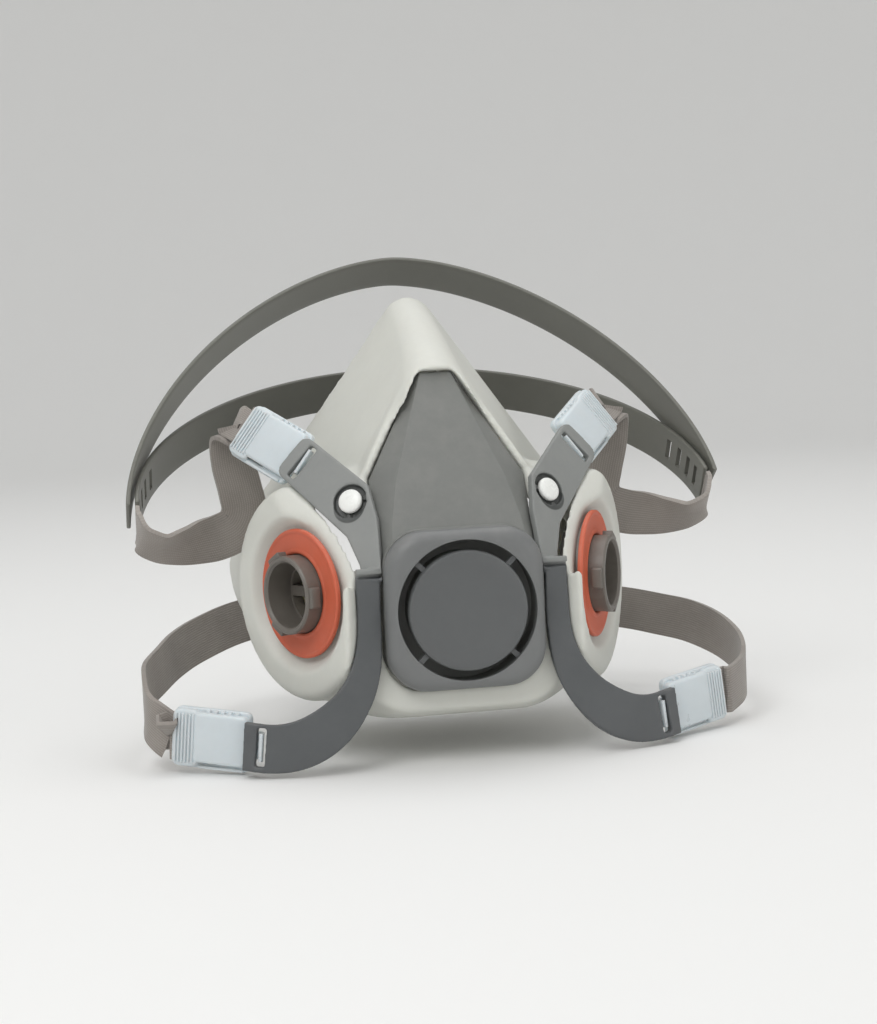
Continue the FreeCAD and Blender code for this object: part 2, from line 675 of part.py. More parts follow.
def build_front_frame():
    """Hard frame: nose panel, square housing, duct sleeve, valve seat with its web and peg."""
    plate = panel_plate()
    housing = housing_block(
        size("housing_half"), size("housing_corner"), size("housing_front"), size("housing_back"))
    above = Part.makeBox(120, 60, 60, V(-60, -size("housing_front") - 60, -60))
    plate = plate.cut(above)
    sleeve = Part.makeCylinder(
        size("duct_outer"), size("housing_back") - size("duct_back") + 1, V(0, 0, size("duct_back")))
    body = housing.fuse([plate, placed(sleeve, VALVE_PLACE)])
    bore = Part.makeCylinder(size("duct_bore"), 60, V(0, 0, 30))
    chamber = Part.makeCylinder(size("seat_radius"), 20, V(0, 0, size("seat_front")))
    groove = Part.makeCylinder(size("groove_outer"), 20, V(0, 0, size("groove_back")))
    groove = groove.cut(Part.makeCylinder(size("groove_inner"), 20, V(0, 0, size("groove_back"))))
    for tool in (bore, chamber, groove):
        body = body.cut(placed(tool, VALVE_PLACE))
    web_low = size("seat_front") - size("web_thick")
    spokes = []
    for turn in (90, 210, 330):
        spoke = Part.makeBox(
            size("duct_bore") + 1, size("web_width"), size("web_thick"),
            V(0, -size("web_width") / 2, web_low))
        spoke.rotate(V(0, 0, 0), V(0, 0, 1), turn)
        spokes.append(spoke)
    hub = Part.makeCylinder(size("hub_radius"), size("web_thick"), V(0, 0, web_low))
    head_low = size("seat_front") + 2 * size("flap_seat_gap") + size("flap_thick") + size("flap_lift")
    peg = Part.makeCylinder(size("peg_radius"), head_low - web_low, V(0, 0, web_low))
    head = Part.makeCylinder(size("peg_head"), size("peg_head_high"), V(0, 0, head_low))
    web = hub.fuse(spokes + [peg, head])
    return body.fuse(placed(web, VALVE_PLACE)).removeSplitter()


keep(solid_feature("front_frame", build_front_frame()), "front_frame")


def flap(name, radius, low, placement):
    """Thin rubber disc with a hole for its peg."""
    body = doc.addObject("PartDesign::Body", name)
    hole = "sizes.peg_radius + sizes.peg_gap"
    high = f"{low} + sizes.flap_thick"
    revolve(body, "disc", [(hole, low), (radius, low), (radius, high), (hole, high)])
    return keep(body, name, placement)


flap("exhalation_flap", "sizes.flap_radius", "sizes.seat_front + sizes.flap_seat_gap", VALVE_PLACE)

# ---------------------------------------------------------------- exhalation cover


def build_cover():
    """Square cap with round corners, four curved slots and a raised plain disc."""
    body = doc.addObject("PartDesign::Body", "exhalation_cover")
    half = "sizes.housing_half"
    square = [(half, half), (f"-{half}", half), (f"-{half}", f"-{half}"), (half, f"-{half}")]
    base = pad(body, "block", formula_sketch(body, "square", "XY_Plane", square, "sizes.cover_back"),
               "sizes.cover_front - sizes.cover_back")
    corners = round_edges(
        body, "corners", base, "sizes.housing_corner",
        lambda edge: abs(edge.tangentAt(edge.FirstParameter).z) > 0.9)
    front = size("cover_front")
    dome = round_edges(
        body, "front_edge", corners, "sizes.cover_round",
        lambda edge: edge.BoundBox.ZMin > front - 0.01)
    doc.recompute()
    inner = "(sizes.housing_half - sizes.cover_wall)"
    clip = "sizes.cover_clip"
    corner_cut = [
        (inner, f"{inner} - {clip}"), (f"{inner} - {clip}", inner),
        (f"-{inner} + {clip}", inner), (f"-{inner}", f"{inner} - {clip}"),
        (f"-{inner}", f"-{inner} + {clip}"), (f"-{inner} + {clip}", f"-{inner}"),
        (f"{inner} - {clip}", f"-{inner}"), (inner, f"-{inner} + {clip}"),
    ]
    inside = formula_sketch(body, "inside", "XY_Plane", corner_cut, "sizes.cover_back")
    pocket(body, "hollow", inside, "sizes.cover_front - sizes.cover_back - sizes.cover_wall", True)
    disc = circle_sketch(body, "disc_circle", "XY_Plane", "sizes.disc_radius", "sizes.cover_front - sizes.disc_root")
    raised = pad(body, "disc", disc, "sizes.valve_front - sizes.cover_front + sizes.disc_root")
    doc.recompute()
    top = size("valve_front")
    round_edges(body, "disc_edge", raised, "sizes.disc_round", lambda edge: edge.BoundBox.ZMin > top - 0.01)
    doc.recompute()
    slot = body.newObject("Sketcher::SketchObject", "slot_outline")
    slot.AttachmentSupport = [(origin_plane(body, "XY_Plane"), "")]
    slot.MapMode = "FlatFace"
    slot.setExpression("AttachmentOffset.Base.z", "sizes.valve_front + 1")
    inner_radius = size("disc_radius")
    outer_radius = size("slot_outer")
    spoke = size("spoke_width") / 2
    turn = math.radians(45)
    inner_turn = math.asin(spoke / inner_radius)
    outer_turn = math.asin(spoke / outer_radius)
    centre = V(0, 0, 0)
    axis = V(0, 0, 1)
    outer_arc = Part.ArcOfCircle(Part.Circle(centre, axis, outer_radius), turn + outer_turn - math.pi / 2,
                                 turn - outer_turn)
    inner_arc = Part.ArcOfCircle(Part.Circle(centre, axis, inner_radius), turn + inner_turn - math.pi / 2,
                                 turn - inner_turn)
    slot.addGeometry(outer_arc)
    slot.addGeometry(inner_arc)
    slot.addGeometry(Part.LineSegment(outer_arc.StartPoint, inner_arc.StartPoint))
    slot.addGeometry(Part.LineSegment(outer_arc.EndPoint, inner_arc.EndPoint))
    for arc, end, line in ((0, 1, 2), (0, 2, 3)):
        slot.addConstraint(Sketcher.Constraint("Coincident", arc, end, line, 1))
    for arc, end, line in ((1, 1, 2), (1, 2, 3)):
        slot.addConstraint(Sketcher.Constraint("Coincident", arc, end, line, 2))
    for arc, formula in ((0, "sizes.slot_outer"), (1, "sizes.disc_radius")):
        slot.addConstraint(Sketcher.Constraint("Coincident", arc, 3, -1, 1))
        spot = slot.addConstraint(Sketcher.Constraint("Radius", arc, number_of(formula)))
        slot.setExpression(f"Constraints[{spot}]", formula)
    one_slot = pocket(body, "slot", slot, "sizes.valve_front - sizes.cover_back")
    polar(body, "slots", one_slot, 4)
    return keep(body, "exhalation_cover", VALVE_PLACE)


build_cover()

# ---------------------------------------------------------------- filter ports


def build_bayonet(name, placement):
    """Collar with an outer flange, three lugs, an inner web and the flap's peg."""
    body = doc.addObject("PartDesign::Body", name)
    bore = "sizes.collar_bore"
    outer = "sizes.collar_outer"
    low = "-sizes.collar_low"
    high = "sizes.collar_high"
    floor = "0 mm"
    ledge = "-sizes.ledge_low"
    revolve(body, "collar", [
        ("sizes.ledge_bore", low), (outer, low), (outer, floor), ("sizes.flange_radius", floor),
        ("sizes.flange_radius", "sizes.flange_thick"), (outer, "sizes.flange_thick"), (outer, high),
        (bore, high), (bore, ledge), ("sizes.ledge_bore", ledge)])
    lug_in = "(sizes.collar_bore + sizes.collar_outer) / 2"
    half = "sizes.lug_width / 2"
    lug = [(f"-{lug_in}", half), ("-sizes.lug_reach", half), ("-sizes.lug_reach", f"-{half}"),
           (f"-{lug_in}", f"-{half}")]
    lug_sketch = formula_sketch(
        body, "lug_outline", "XY_Plane", lug, "sizes.collar_high - sizes.lug_below_rim - sizes.lug_thick")
    one_lug = pad(body, "lug", lug_sketch, "sizes.lug_thick")
    polar(body, "lugs", one_lug, 3)
    web_half = "sizes.port_web_width / 2"
    web_low = "-sizes.ledge_low - sizes.port_web_thick"
    spoke = [("-sizes.port_web_width / 4", f"-{web_half}"), (lug_in, f"-{web_half}"), (lug_in, web_half),
             ("-sizes.port_web_width / 4", web_half)]
    spoke_sketch = formula_sketch(body, "spoke_outline", "XY_Plane", spoke, web_low)
    one_spoke = pad(body, "spoke", spoke_sketch, "sizes.port_web_thick")
    polar(body, "web", one_spoke, 3)
    hub = circle_sketch(body, "hub_circle", "XY_Plane", "sizes.hub_radius", web_low)
    pad(body, "hub", hub, "sizes.port_web_thick")
    reach = "sizes.flap_lift + sizes.flap_thick + 2 * sizes.flap_seat_gap"
    peg = circle_sketch(body, "peg_circle", "XY_Plane", "sizes.peg_radius", f"{low} - ({reach})")
    pad(body, "peg", peg, f"{reach} + sizes.collar_low - sizes.ledge_low - sizes.port_web_thick / 2")
    head = circle_sketch(
        body, "head_circle", "XY_Plane", "sizes.peg_head", f"{low} - ({reach}) - sizes.peg_head_high")
    pad(body, "peg_head", head, "sizes.peg_head_high")
    return keep(body, name, placement)


def build_gasket(name, placement):
    body = doc.addObject("PartDesign::Body", name)
    inner = "sizes.collar_outer + sizes.fit_gap"
    low = "sizes.flange_thick"
    high = "sizes.flange_thick + sizes.gasket_thick"
    disc = revolve(body, "washer", [
        (inner, low), ("sizes.gasket_outer", low), ("sizes.gasket_outer", high), (inner, high)])
    round_edges(body, "soft_edges", disc, "sizes.gasket_round",
                lambda edge: edge.Curve.TypeId == "Part::GeomCircle")
    return keep(body, name, placement)


def build_clamp_ring(name, placement):
    body = doc.addObject("PartDesign::Body", name)
    inner = "sizes.collar_outer + sizes.fit_gap / 2"
    low = "-sizes.collar_low"
    high = "-sizes.port_floor"
    revolve(body, "ring", [(inner, low), ("sizes.ring_outer", low), ("sizes.ring_outer", high), (inner, high)])
    half = "sizes.ring_notch / 2"
    near = "sizes.ring_outer - sizes.ring_notch_deep"
    far = "sizes.ring_outer + sizes.wall"
    notch = [(near, f"-{half}"), (far, f"-{half}"), (far, half), (near, half)]
    sketch = formula_sketch(body, "notch_outline", "XY_Plane", notch, low)
    one_notch = pocket(body, "notch", sketch, "sizes.collar_low - sizes.port_floor", True)
    polar(body, "notches", one_notch, 6)
    return keep(body, name, placement)


for side_name, side in SIDES.items():
    place = port_place(side)
    build_bayonet("bayonet_" + side_name, place)
    build_gasket("gasket_" + side_name, place)
    build_clamp_ring("clamp_ring_" + side_name, place)
    flap("inhalation_flap_" + side_name, "sizes.inlet_flap",
         "-sizes.collar_low - sizes.flap_seat_gap - sizes.flap_thick", place)

# ---------------------------------------------------------------- yokes


def lower_end_frame(side):
    """Own Z along the lower end bar, own X outwards along the arm, at the bar's middle."""
    tip = mirrored(LOWER_ARM[-1][0], side)
    before = mirrored(LOWER_ARM[-2][0], side)
    along = unit(tip - before)
    upright = mirrored(unit(V(0, 0.05, 1)), side)
    upright = unit(upright - along * upright.dot(along))
    out = along.cross(upright)
    if out.y > 0:
        out = out * -1
    bar = tip - along * (size("yoke_bar") / 2)
    return bar, along, upright, out


def build_yoke(side):
    thick = size("yoke_thick")
    upper = arm_outline(0, side).extrude(V(0, 0, thick))
    end = size("yoke_end")
    rounded = [edge for edge in upper.Edges
               if edge.BoundBox.XMin > end - 0.01 and edge.BoundBox.ZLength > thick / 2]
    upper = upper.makeFillet(size("yoke_corner"), rounded)
    slot_high = end - size("yoke_bar")
    slot = Part.makeBox(size("slot_width"), 2 * size("slot_half"), 3 * thick,
                        V(slot_high - size("slot_width"), -size("slot_half"), -thick))
    ring = Part.makeCylinder(size("stud_ring"), thick, V(0, 0, thick - size("stud_ring_deep")))
    bore = Part.makeCylinder(size("stud_shank") + size("fit_gap"), 3 * thick, V(0, 0, -thick))
    upper = upper.cut(slot).cut(ring).cut(bore)
    upper = placed(upper, arm_place(side))
    lower = lower_arm(side, 0)
    end_bar, along, upright, out = lower_end_frame(side)
    slot_middle = end_bar - along * (size("yoke_bar") / 2 + size("slot_width") / 2)
    slot = Part.makeBox(size("slot_width"), 2 * size("slot_half"), 6 * thick,
                        V(-size("slot_width") / 2, -size("slot_half"), -3 * thick))
    slot.Placement = frame_at(slot_middle, along, upright, along.cross(upright))
    lower = lower.cut(slot)
    arms = upper.fuse(lower)
    first, width = LOWER_ARM[0]
    front = first.y - thick / 2
    high = -size("crease_high")
    groove = size("crease_groove")
    low = high - size("crease_bar")
    bar = Part.makeBox(width, thick, size("crease_bar"),
                       V(side * first.x - width / 2, front - size("crease_rise"), low))
    cut = Part.makeBox(2 * width, thick, groove, V(side * first.x - width, front - thick + groove, low - groove))
    arms = arms.fuse(bar).cut(cut).removeSplitter()
    valve = housing_block(
        size("housing_half") + size("fit_gap"), size("housing_corner"), size("valve_front") + 10,
        size("housing_back") - size("fit_gap"))
    return arms.cut(valve)


for side_name, side in SIDES.items():
    keep(solid_feature("yoke_" + side_name, build_yoke(side)), "yoke_" + side_name)


def build_stud(name, placement):
    """White button with a domed head and a shank pressed into the facepiece."""
    body = doc.addObject("PartDesign::Body", name)
    under = "sizes.yoke_thick - sizes.stud_ring_deep"
    top = "sizes.yoke_thick + sizes.stud_head_high - sizes.stud_ring_deep"
    axis = "0 mm"
    turned = revolve(body, "button", [
        (axis, "-sizes.stud_deep"), ("sizes.stud_shank", "-sizes.stud_deep"), ("sizes.stud_shank", under),
        ("sizes.stud_head", under), ("sizes.stud_head", top), (axis, top)])
    doc.recompute()
    head = number_of(top)
    round_edges(body, "dome", turned, "sizes.stud_head_high * 0.35",
                lambda edge: edge.BoundBox.ZMin > head - 0.01)
    return keep(body, name, placement)


for side_name, side in SIDES.items():
    build_stud("stud_" + side_name, arm_place(side))

# ---------------------------------------------------------------- buckles


def build_buckle():
    """Strap buckle in its own frame: origin on the bar it hooks, own X away, own Z out."""
    inner = size("hook_inner")
    outer = inner + size("hook_thick")
    half = size("hook_half")
    top = size("buckle_top")
    ring = Part.makeCylinder(outer, 2 * half, V(0, -half, 0), V(0, 1, 0))
    ring = ring.cut(Part.makeCylinder(inner, 2 * half + 2, V(0, -half - 1, 0), V(0, 1, 0)))
    above_tip = Part.makeBox(2 * outer, 2 * half + 2, 2 * outer, V(-2 * outer, -half - 1, size("hook_rise")))
    above_frame = Part.makeBox(2 * outer, 2 * half + 2, 3 * outer, V(0, -half - 1, top))
    hook = ring.cut(above_tip).cut(above_frame)
    near = size("buckle_near")
    far = size("buckle_long")
    wide = size("buckle_half")
    high = size("buckle_high")
    low = top - high
    block = Part.makeBox(far - near, 2 * wide, high, V(near, -wide, low))
    uprights = [edge for edge in block.Edges if edge.BoundBox.ZLength > high / 2]
    block = block.makeFillet(size("buckle_corner"), uprights)
    floor = size("buckle_floor")
    clear = wide - size("buckle_rail")
    inside = Part.makeBox(
        far - near, 2 * clear, high - floor - size("buckle_roof"),
        V(near + size("buckle_lead"), -clear, low + floor))
    window = Part.makeBox(
        size("buckle_window"), 2 * clear, high - size("buckle_roof"),
        V(near + size("buckle_window_at"), -clear, low - size("buckle_roof")))
    shape = block.cut(inside).cut(window)
    ribs = []
    for count in range(1, 5):
        spot = V(far - size("rib_pitch") * count + size("rib_width") / 2, -clear, top - size("fit_gap"))
        ribs.append(Part.makeBox(size("rib_width"), 2 * clear, size("rib_high") + size("fit_gap"), spot))
    return shape.fuse([hook] + ribs).removeSplitter()


BUCKLE = build_buckle()


def buckle_place(pivot, away, out):
    away = unit(away)
    out = unit(out - away * out.dot(away))
    return frame_at(pivot, away, out.cross(away), out)


def upper_pivot(side):
    """Middle of the upper end bar."""
    along = mirrored(ARM_ALONG, side)
    out = mirrored(ARM_OUT, side)
    spot = V(side * size("stud_half"), -size("stud_forward"), size("stud_high"))
    return spot + along * (size("yoke_end") - size("yoke_bar") / 2) - out * (size("yoke_thick") / 2)


UPPER_AWAY = unit(V(0.585, 0.70, 0.40))
LOWER_AWAY = unit(V(0.86, 0.47, 0.19))

upper_places = {}
lower_places = {}
for side_name, side in SIDES.items():
    upper_places[side] = buckle_place(upper_pivot(side), mirrored(UPPER_AWAY, side), mirrored(ARM_OUT, side))
    bar, along, upright, out = lower_end_frame(side)
    away = mirrored(LOWER_AWAY, side)
    away = away - upright * away.dot(upright)
    lower_places[side] = buckle_place(bar, away, out)
    keep(solid_feature("upper_buckle_" + side_name, BUCKLE.copy()), "upper_buckle_" + side_name,
         upper_places[side])
    keep(solid_feature("lower_buckle_" + side_name, BUCKLE.copy()), "lower_buckle_" + side_name,
         lower_places[side])

# ---------------------------------------------------------------- straps

# Middle of a strap's thickness and its width direction, after its start in the buckle. The upper pair
# is drawn for the right side and mirrored; the lower pair hangs loose, so each side has its own line.
UPPER_STRAP = [
    (V(63.4, -8.6, 22.6), V(-0.66, 0.1, 0.74)), (V(63.2, -6.6, 13), V(-0.95, 0.3, 0.2)),
    (V(61.4, -5.6, 4), V(-1, 0.3, 0)), (V(60.4, -4.8, -3.2), V(-1, 0.2, -0.3)),
    (V(63.0, -5.4, -8.8), V(-0.7, 0.1, -0.7)),
    (V(69.0, -7.6, -11.4), V(-0.2, 0.05, -1)), (V(75, -10.4, -12.2), V(0, 0.25, -0.97)),
    (V(82, -14.0, -12.9), V(0, 0.62, -0.78)), (V(88.8, -17.2, -12.6), V(0, 0.8, -0.6)),
    (V(93.4, -18.6, -10.0), V(0, 0.7, -0.71)), (V(95.2, -16.8, -6.4), V(0, 0.5, -0.87)),
    (V(95.2, -14.6, -4.7), V(0, 0.5, -0.87)),
]
LOWER_STRAPS = {
    "left": [
        (V(-95.6, -36.4, -64.2), V(0, 0, 1)), (V(-96.7, -29, -59.9), V(0, 0, 1)),
        (V(-95.7, -18, -57.1), V(0, 0.1, 1)), (V(-90.8, -4, -54.8), V(0, 0.2, 1)),
        (V(-84.4, 11, -52), V(0, 0.3, 1)), (V(-75.6, 25, -49.6), V(0, 0.3, 1)),
        (V(-61.1, 40, -46.8), V(0, 0.3, 1)), (V(-41.1, 52, -45.2), V(0, 0.2, 1)),
        (V(-23.7, 59, -44.6), V(0, 0.1, 1)),
    ],
    "right": [
        (V(92.2, -43.0, -68.6), V(0, 0, 1)), (V(99.6, -34, -67.0), V(0, 0, 1)),
        (V(104, -24, -64.6), V(0, 0, 1)), (V(106.3, -11, -61.7), V(0, 0.1, 1)),
        (V(104.7, 4, -58.1), V(0, 0.2, 1)), (V(99.1, 18, -55), V(0, 0.3, 1)),
        (V(91.4, 29, -53.4), V(0, 0.3, 1)), (V(79.9, 40, -51.4), V(0, 0.3, 1)),
        (V(59.6, 51, -49.2), V(0, 0.2, 1)), (V(38.3, 58, -47.8), V(0, 0.1, 1)),
    ],
}


def strap(stations, place):
    """Elastic strap from the far end of its buckle through the listed stations."""
    start = place.multVec(V(size("buckle_long") + size("soft_gap"), 0, size("strap_level")))
    across = place.Rotation.multVec(V(0, 1, 0))
    if across.dot(stations[0][1]) < 0:
        across = across * -1
    width = size("strap_width")
    lead = place.Rotation.multVec(V(size("strap_lead"), 0, 0))
    items = [(start, across, width), (start + lead, across, width)]
    items += [(middle, direction, width) for middle, direction in stations]
    return ribbon(items, size("strap_thick"))


for side_name, side in SIDES.items():
    upper_line = [(mirrored(middle, side), mirrored(across, side)) for middle, across in UPPER_STRAP]
    upper = strap(upper_line, upper_places[side])
    lower = strap(LOWER_STRAPS[side_name], lower_places[side])
    keep(solid_feature("upper_strap_" + side_name, upper), "upper_strap_" + side_name)
    keep(solid_feature("lower_strap_" + side_name, lower), "lower_strap_" + side_name)

# ---------------------------------------------------------------- head cradle


def band_place(lean):
    """Own X across, own Y along the band's rise, own Z the width direction."""
    turn = math.radians(lean)
    rise = V(0, math.sin(turn), math.cos(turn))
    spot = V(0, -size("junction_forward"), -size("junction_drop"))
    return frame_at(spot, V(1, 0, 0), rise, V(1, 0, 0).cross(rise))


def arch_points(half, reach, power, start, count):
    """Points of a superellipse arch from one end, over the top, to the other."""
    low = math.asin(min(start / reach, 1))
    points = []
    for index in range(count):
        turn = low + (math.pi - 2 * low) * index / (count - 1)
        across = abs(math.cos(turn)) ** (2 / power) * half
        rise = math.sin(turn) ** (2 / power) * reach
        points.append(V(math.copysign(across, math.cos(turn)), rise, 0))
    return points


def arch_band(half, reach, power, start):
    """Flat band bent to an arch."""
    thick = size("band_thick")
    outer = Part.BSplineCurve()
    outer.interpolate(arch_points(half, reach, power, start, 17))
    inner = Part.BSplineCurve()
    inner.interpolate(arch_points(half - thick, reach - thick, power, start, 17))
    first = Part.LineSegment(outer.StartPoint, inner.StartPoint).toShape()
    last = Part.LineSegment(outer.EndPoint, inner.EndPoint).toShape()
    face = Part.Face(Part.Wire([outer.toShape(), last, inner.toShape(), first]))
    width = size("band_width")
    band = face.extrude(V(0, 0, width))
    band.translate(V(0, 0, -width / 2))
    return band


def build_rear_band():
    band = arch_band(size("rear_half"), size("rear_reach"), 2, 0)
    cuts = []
    for side in SIDES.values():
        for step in range(1, 5):
            cut = Part.makeBox(20, size("adjust_width"), size("adjust_long"),
                               V(side * size("rear_half") - 10, step * size("adjust_pitch"),
                                 -size("adjust_long") / 2))
            cuts.append(cut)
    for cut in cuts:
        band = band.cut(cut)
    return band


keep(solid_feature("rear_band", build_rear_band()), "rear_band", band_place(size("rear_lean")))


def build_crown_band():
    """Crown band with a headed peg at each end that goes through the rear band's second slot."""
    band = arch_band(size("crown_half"), size("crown_reach"), size("crown_power"), size("crown_start"))
    rise = 2 * size("adjust_pitch") + size("adjust_width") / 2
    spot = band_place(size("rear_lean")).multVec(V(0, rise, 0))
    spot = band_place(size("crown_lean")).inverse().multVec(spot)
    inside = size("rear_half") - 2 * size("band_thick") - size("soft_gap")
    pegs = []
    for side in SIDES.values():
        start = V(side * inside, spot.y, spot.z)
        reach = size("cradle_peg_end") - inside
        pegs.append(Part.makeCylinder(size("cradle_peg"), reach, start, V(side, 0, 0)))
        pegs.append(Part.makeCylinder(size("cradle_peg_head"), size("peg_head_high"), start, V(-side, 0, 0)))
    return band.fuse(pegs).removeSplitter()


keep(solid_feature("crown_band", build_crown_band()), "crown_band", band_place(size("crown_lean")))

# ---------------------------------------------------------------- neck clasp


def build_clasp(hooked):
    """Half of the neck clasp: a plate with a strap slot, and a hook or a window at its tip."""
    half = size("clasp_half")
    long = size("clasp_long")
    thick = size("clasp_thick")
    plate = Part.makeBox(long, 2 * half, thick, V(-long, -half, -thick / 2))
    uprights = [edge for edge in plate.Edges if edge.BoundBox.ZLength > thick / 2]
    plate = plate.makeFillet(size("clasp_corner"), uprights)
    rim = size("clasp_rim")
    near = size("clasp_bar") + size("clasp_slot")
    slot = Part.makeBox(size("clasp_slot"), 2 * (half - rim), 2 * thick, V(-near, -half + rim, -thick))
    plate = plate.cut(slot)
    if hooked:
        notch = Part.makeBox(2 * rim, half - rim, 2 * thick, V(1.5 * rim - long, (rim - half) / 2, -thick))
        side_cut = Part.makeBox(2 * rim, half / 2, 2 * thick, V(1.5 * rim - long, -half - rim / 2, -thick))
        return plate.cut(notch).cut(side_cut)
    window = Part.makeBox(3 * rim, 2 * (half - rim), 2 * thick, V(rim - long, -half + rim, -thick))
    return plate.cut(window)


for side_name, side in SIDES.items():
    last = LOWER_STRAPS[side_name][-1][0]
    before = LOWER_STRAPS[side_name][-2][0]
    inwards = unit(last - before)
    middle = last + inwards * size("fit_gap")
    upright = unit(UP - inwards * UP.dot(inwards))
    place = frame_at(middle, inwards * -1, upright, (inwards * -1).cross(upright))
    label = "neck_clasp_hook" if side < 0 else "neck_clasp_loop"
    keep(solid_feature(label, build_clasp(side < 0)), label, place)

# ---------------------------------------------------------------- checks and export

doc.recompute()
for item in doc.Objects:
    if "Invalid" in item.State or "Error" in item.State:
        raise RuntimeError(f"{item.Name} failed: {item.State}")
for node in NODES:
    if node.Shape.isNull() or not node.Shape.isValid():
        raise RuntimeError(f"{node.Label} has no valid shape")
    if not node.Shape.Solids:
        raise RuntimeError(f"{node.Label} holds no solid")
for node in NODES:
    box = node.Shape.BoundBox
    print(f"{node.Label:24s} solids {len(node.Shape.Solids)} volume {node.Shape.Volume:9.1f} "
          f"x {box.XMin:6.1f} {box.XMax:6.1f} y {box.YMin:6.1f} {box.YMax:6.1f} z {box.ZMin:6.1f} {box.ZMax:6.1f}")
    node.Shape.exportStep("parts/" + node.Label + ".step")
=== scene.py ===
# %% [markdown]
# A half-mask respirator, piece by piece. The CAD model says where every piece is and how
# big it is. Here each piece gets the shape and the finish that the eye expects: a soft
# moulded cup, matt hard plastic, milky buckles and woven elastic.

# %% Load the frame
import json
import math
import bmesh
import bpy
from mathutils import Matrix, Vector


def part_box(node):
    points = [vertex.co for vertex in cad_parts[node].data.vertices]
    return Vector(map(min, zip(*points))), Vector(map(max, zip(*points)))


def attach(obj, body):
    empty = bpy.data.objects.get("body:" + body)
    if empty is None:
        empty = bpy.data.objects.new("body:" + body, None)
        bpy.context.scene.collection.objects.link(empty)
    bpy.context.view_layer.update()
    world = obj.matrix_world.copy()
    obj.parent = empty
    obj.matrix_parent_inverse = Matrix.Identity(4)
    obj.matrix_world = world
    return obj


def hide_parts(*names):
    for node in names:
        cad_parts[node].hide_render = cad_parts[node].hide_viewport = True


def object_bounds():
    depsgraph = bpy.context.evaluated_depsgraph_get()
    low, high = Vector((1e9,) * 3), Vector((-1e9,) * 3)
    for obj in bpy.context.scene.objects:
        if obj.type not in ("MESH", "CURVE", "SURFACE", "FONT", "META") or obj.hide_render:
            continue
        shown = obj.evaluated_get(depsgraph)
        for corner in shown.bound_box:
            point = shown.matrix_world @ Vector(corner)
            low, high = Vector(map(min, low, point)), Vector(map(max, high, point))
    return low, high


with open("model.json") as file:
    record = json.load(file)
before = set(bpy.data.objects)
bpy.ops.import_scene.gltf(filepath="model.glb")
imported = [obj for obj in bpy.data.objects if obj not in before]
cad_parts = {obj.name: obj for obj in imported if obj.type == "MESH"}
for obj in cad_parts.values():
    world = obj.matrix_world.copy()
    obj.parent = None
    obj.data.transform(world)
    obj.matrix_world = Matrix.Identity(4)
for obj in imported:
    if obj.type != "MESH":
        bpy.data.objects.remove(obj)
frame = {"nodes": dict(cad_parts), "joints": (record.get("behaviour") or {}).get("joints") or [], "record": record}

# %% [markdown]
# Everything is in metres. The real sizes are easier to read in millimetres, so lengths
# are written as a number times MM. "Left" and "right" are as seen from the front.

MM = 0.001
SIDES = {"left": -1, "right": 1}
cad_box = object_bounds()
mounts = {mount["name"]: mount for mount in frame["record"]["mounts"]}
joints = {joint["name"]: joint for joint in frame["joints"]}
print("CAD box", [round(value, 4) for corner in cad_box for value in corner])

# %% [markdown]
# An operator acts on whatever is selected, and loading the frame leaves its nodes
# selected. So one helper clears the selection and takes hold of a single piece, and
# others open it in edit mode, pick vertices or faces by their place, and apply modifiers.

# %% Helpers for selecting and editing
def only(piece):
    """Select this piece and nothing else."""
    if bpy.context.mode != "OBJECT":
        bpy.ops.object.mode_set(mode="OBJECT")
    bpy.ops.object.select_all(action="DESELECT")
    piece.select_set(True)
    bpy.context.view_layer.objects.active = piece


def edit(piece, kind="VERT"):
    only(piece)
    bpy.ops.object.mode_set(mode="EDIT")
    bpy.ops.mesh.select_mode(type=kind)


def pick(piece, kind, test):
    """In edit mode, select just the vertices, edges or faces that pass a test."""
    bpy.ops.mesh.select_mode(type=kind)
    bpy.ops.mesh.select_all(action="DESELECT")
    mesh = bmesh.from_edit_mesh(piece.data)
    parts = {"VERT": mesh.verts, "EDGE": mesh.edges, "FACE": mesh.faces}[kind]
    count = 0
    for part in parts:
        if test(part):
            part.select_set(True)
            count += 1
    mesh.select_flush_mode()
    bmesh.update_edit_mesh(piece.data)
    return count


def finish_edit():
    bpy.ops.object.mode_set(mode="OBJECT")


def apply(piece, kind, **settings):
    """Add one modifier, set it up and apply it."""
    only(piece)
    modifier = piece.modifiers.new(kind.lower(), kind)
    for key, value in settings.items():
        setattr(modifier, key, value)
    bpy.ops.object.modifier_apply(modifier=modifier.name)


def smooth(piece, degrees=35):
    only(piece)
    bpy.ops.object.shade_smooth_by_angle(angle=math.radians(degrees))


def clean(piece, gap=0.01 * MM):
    """Merge doubled vertices and turn every face outwards."""
    edit(piece)
    bpy.ops.mesh.select_all(action="SELECT")
    bpy.ops.mesh.remove_doubles(threshold=gap)
    bpy.ops.mesh.normals_make_consistent(inside=False)
    finish_edit()


# %% [markdown]
# Most pieces are drawn flat in a frame of their own and then set down in the mask's
# frame. The place is applied to the mesh, so that each object stays at the origin.

# %% Frames and places
def frame_at(origin, x_axis, y_axis, z_axis):
    """Matrix whose own axes point along the three given directions."""
    rows = [[x_axis[row], y_axis[row], z_axis[row], origin[row]] for row in range(3)]
    return Matrix(rows + [[0, 0, 0, 1]])


def set_down(piece, place):
    piece.matrix_world = place @ piece.matrix_world
    only(piece)
    bpy.ops.object.transform_apply(location=True, rotation=True, scale=True)
    return piece


def place_vertices(piece, place):
    """Move a copied mesh without touching its object."""
    piece.data.transform(place)
    piece.data.update()


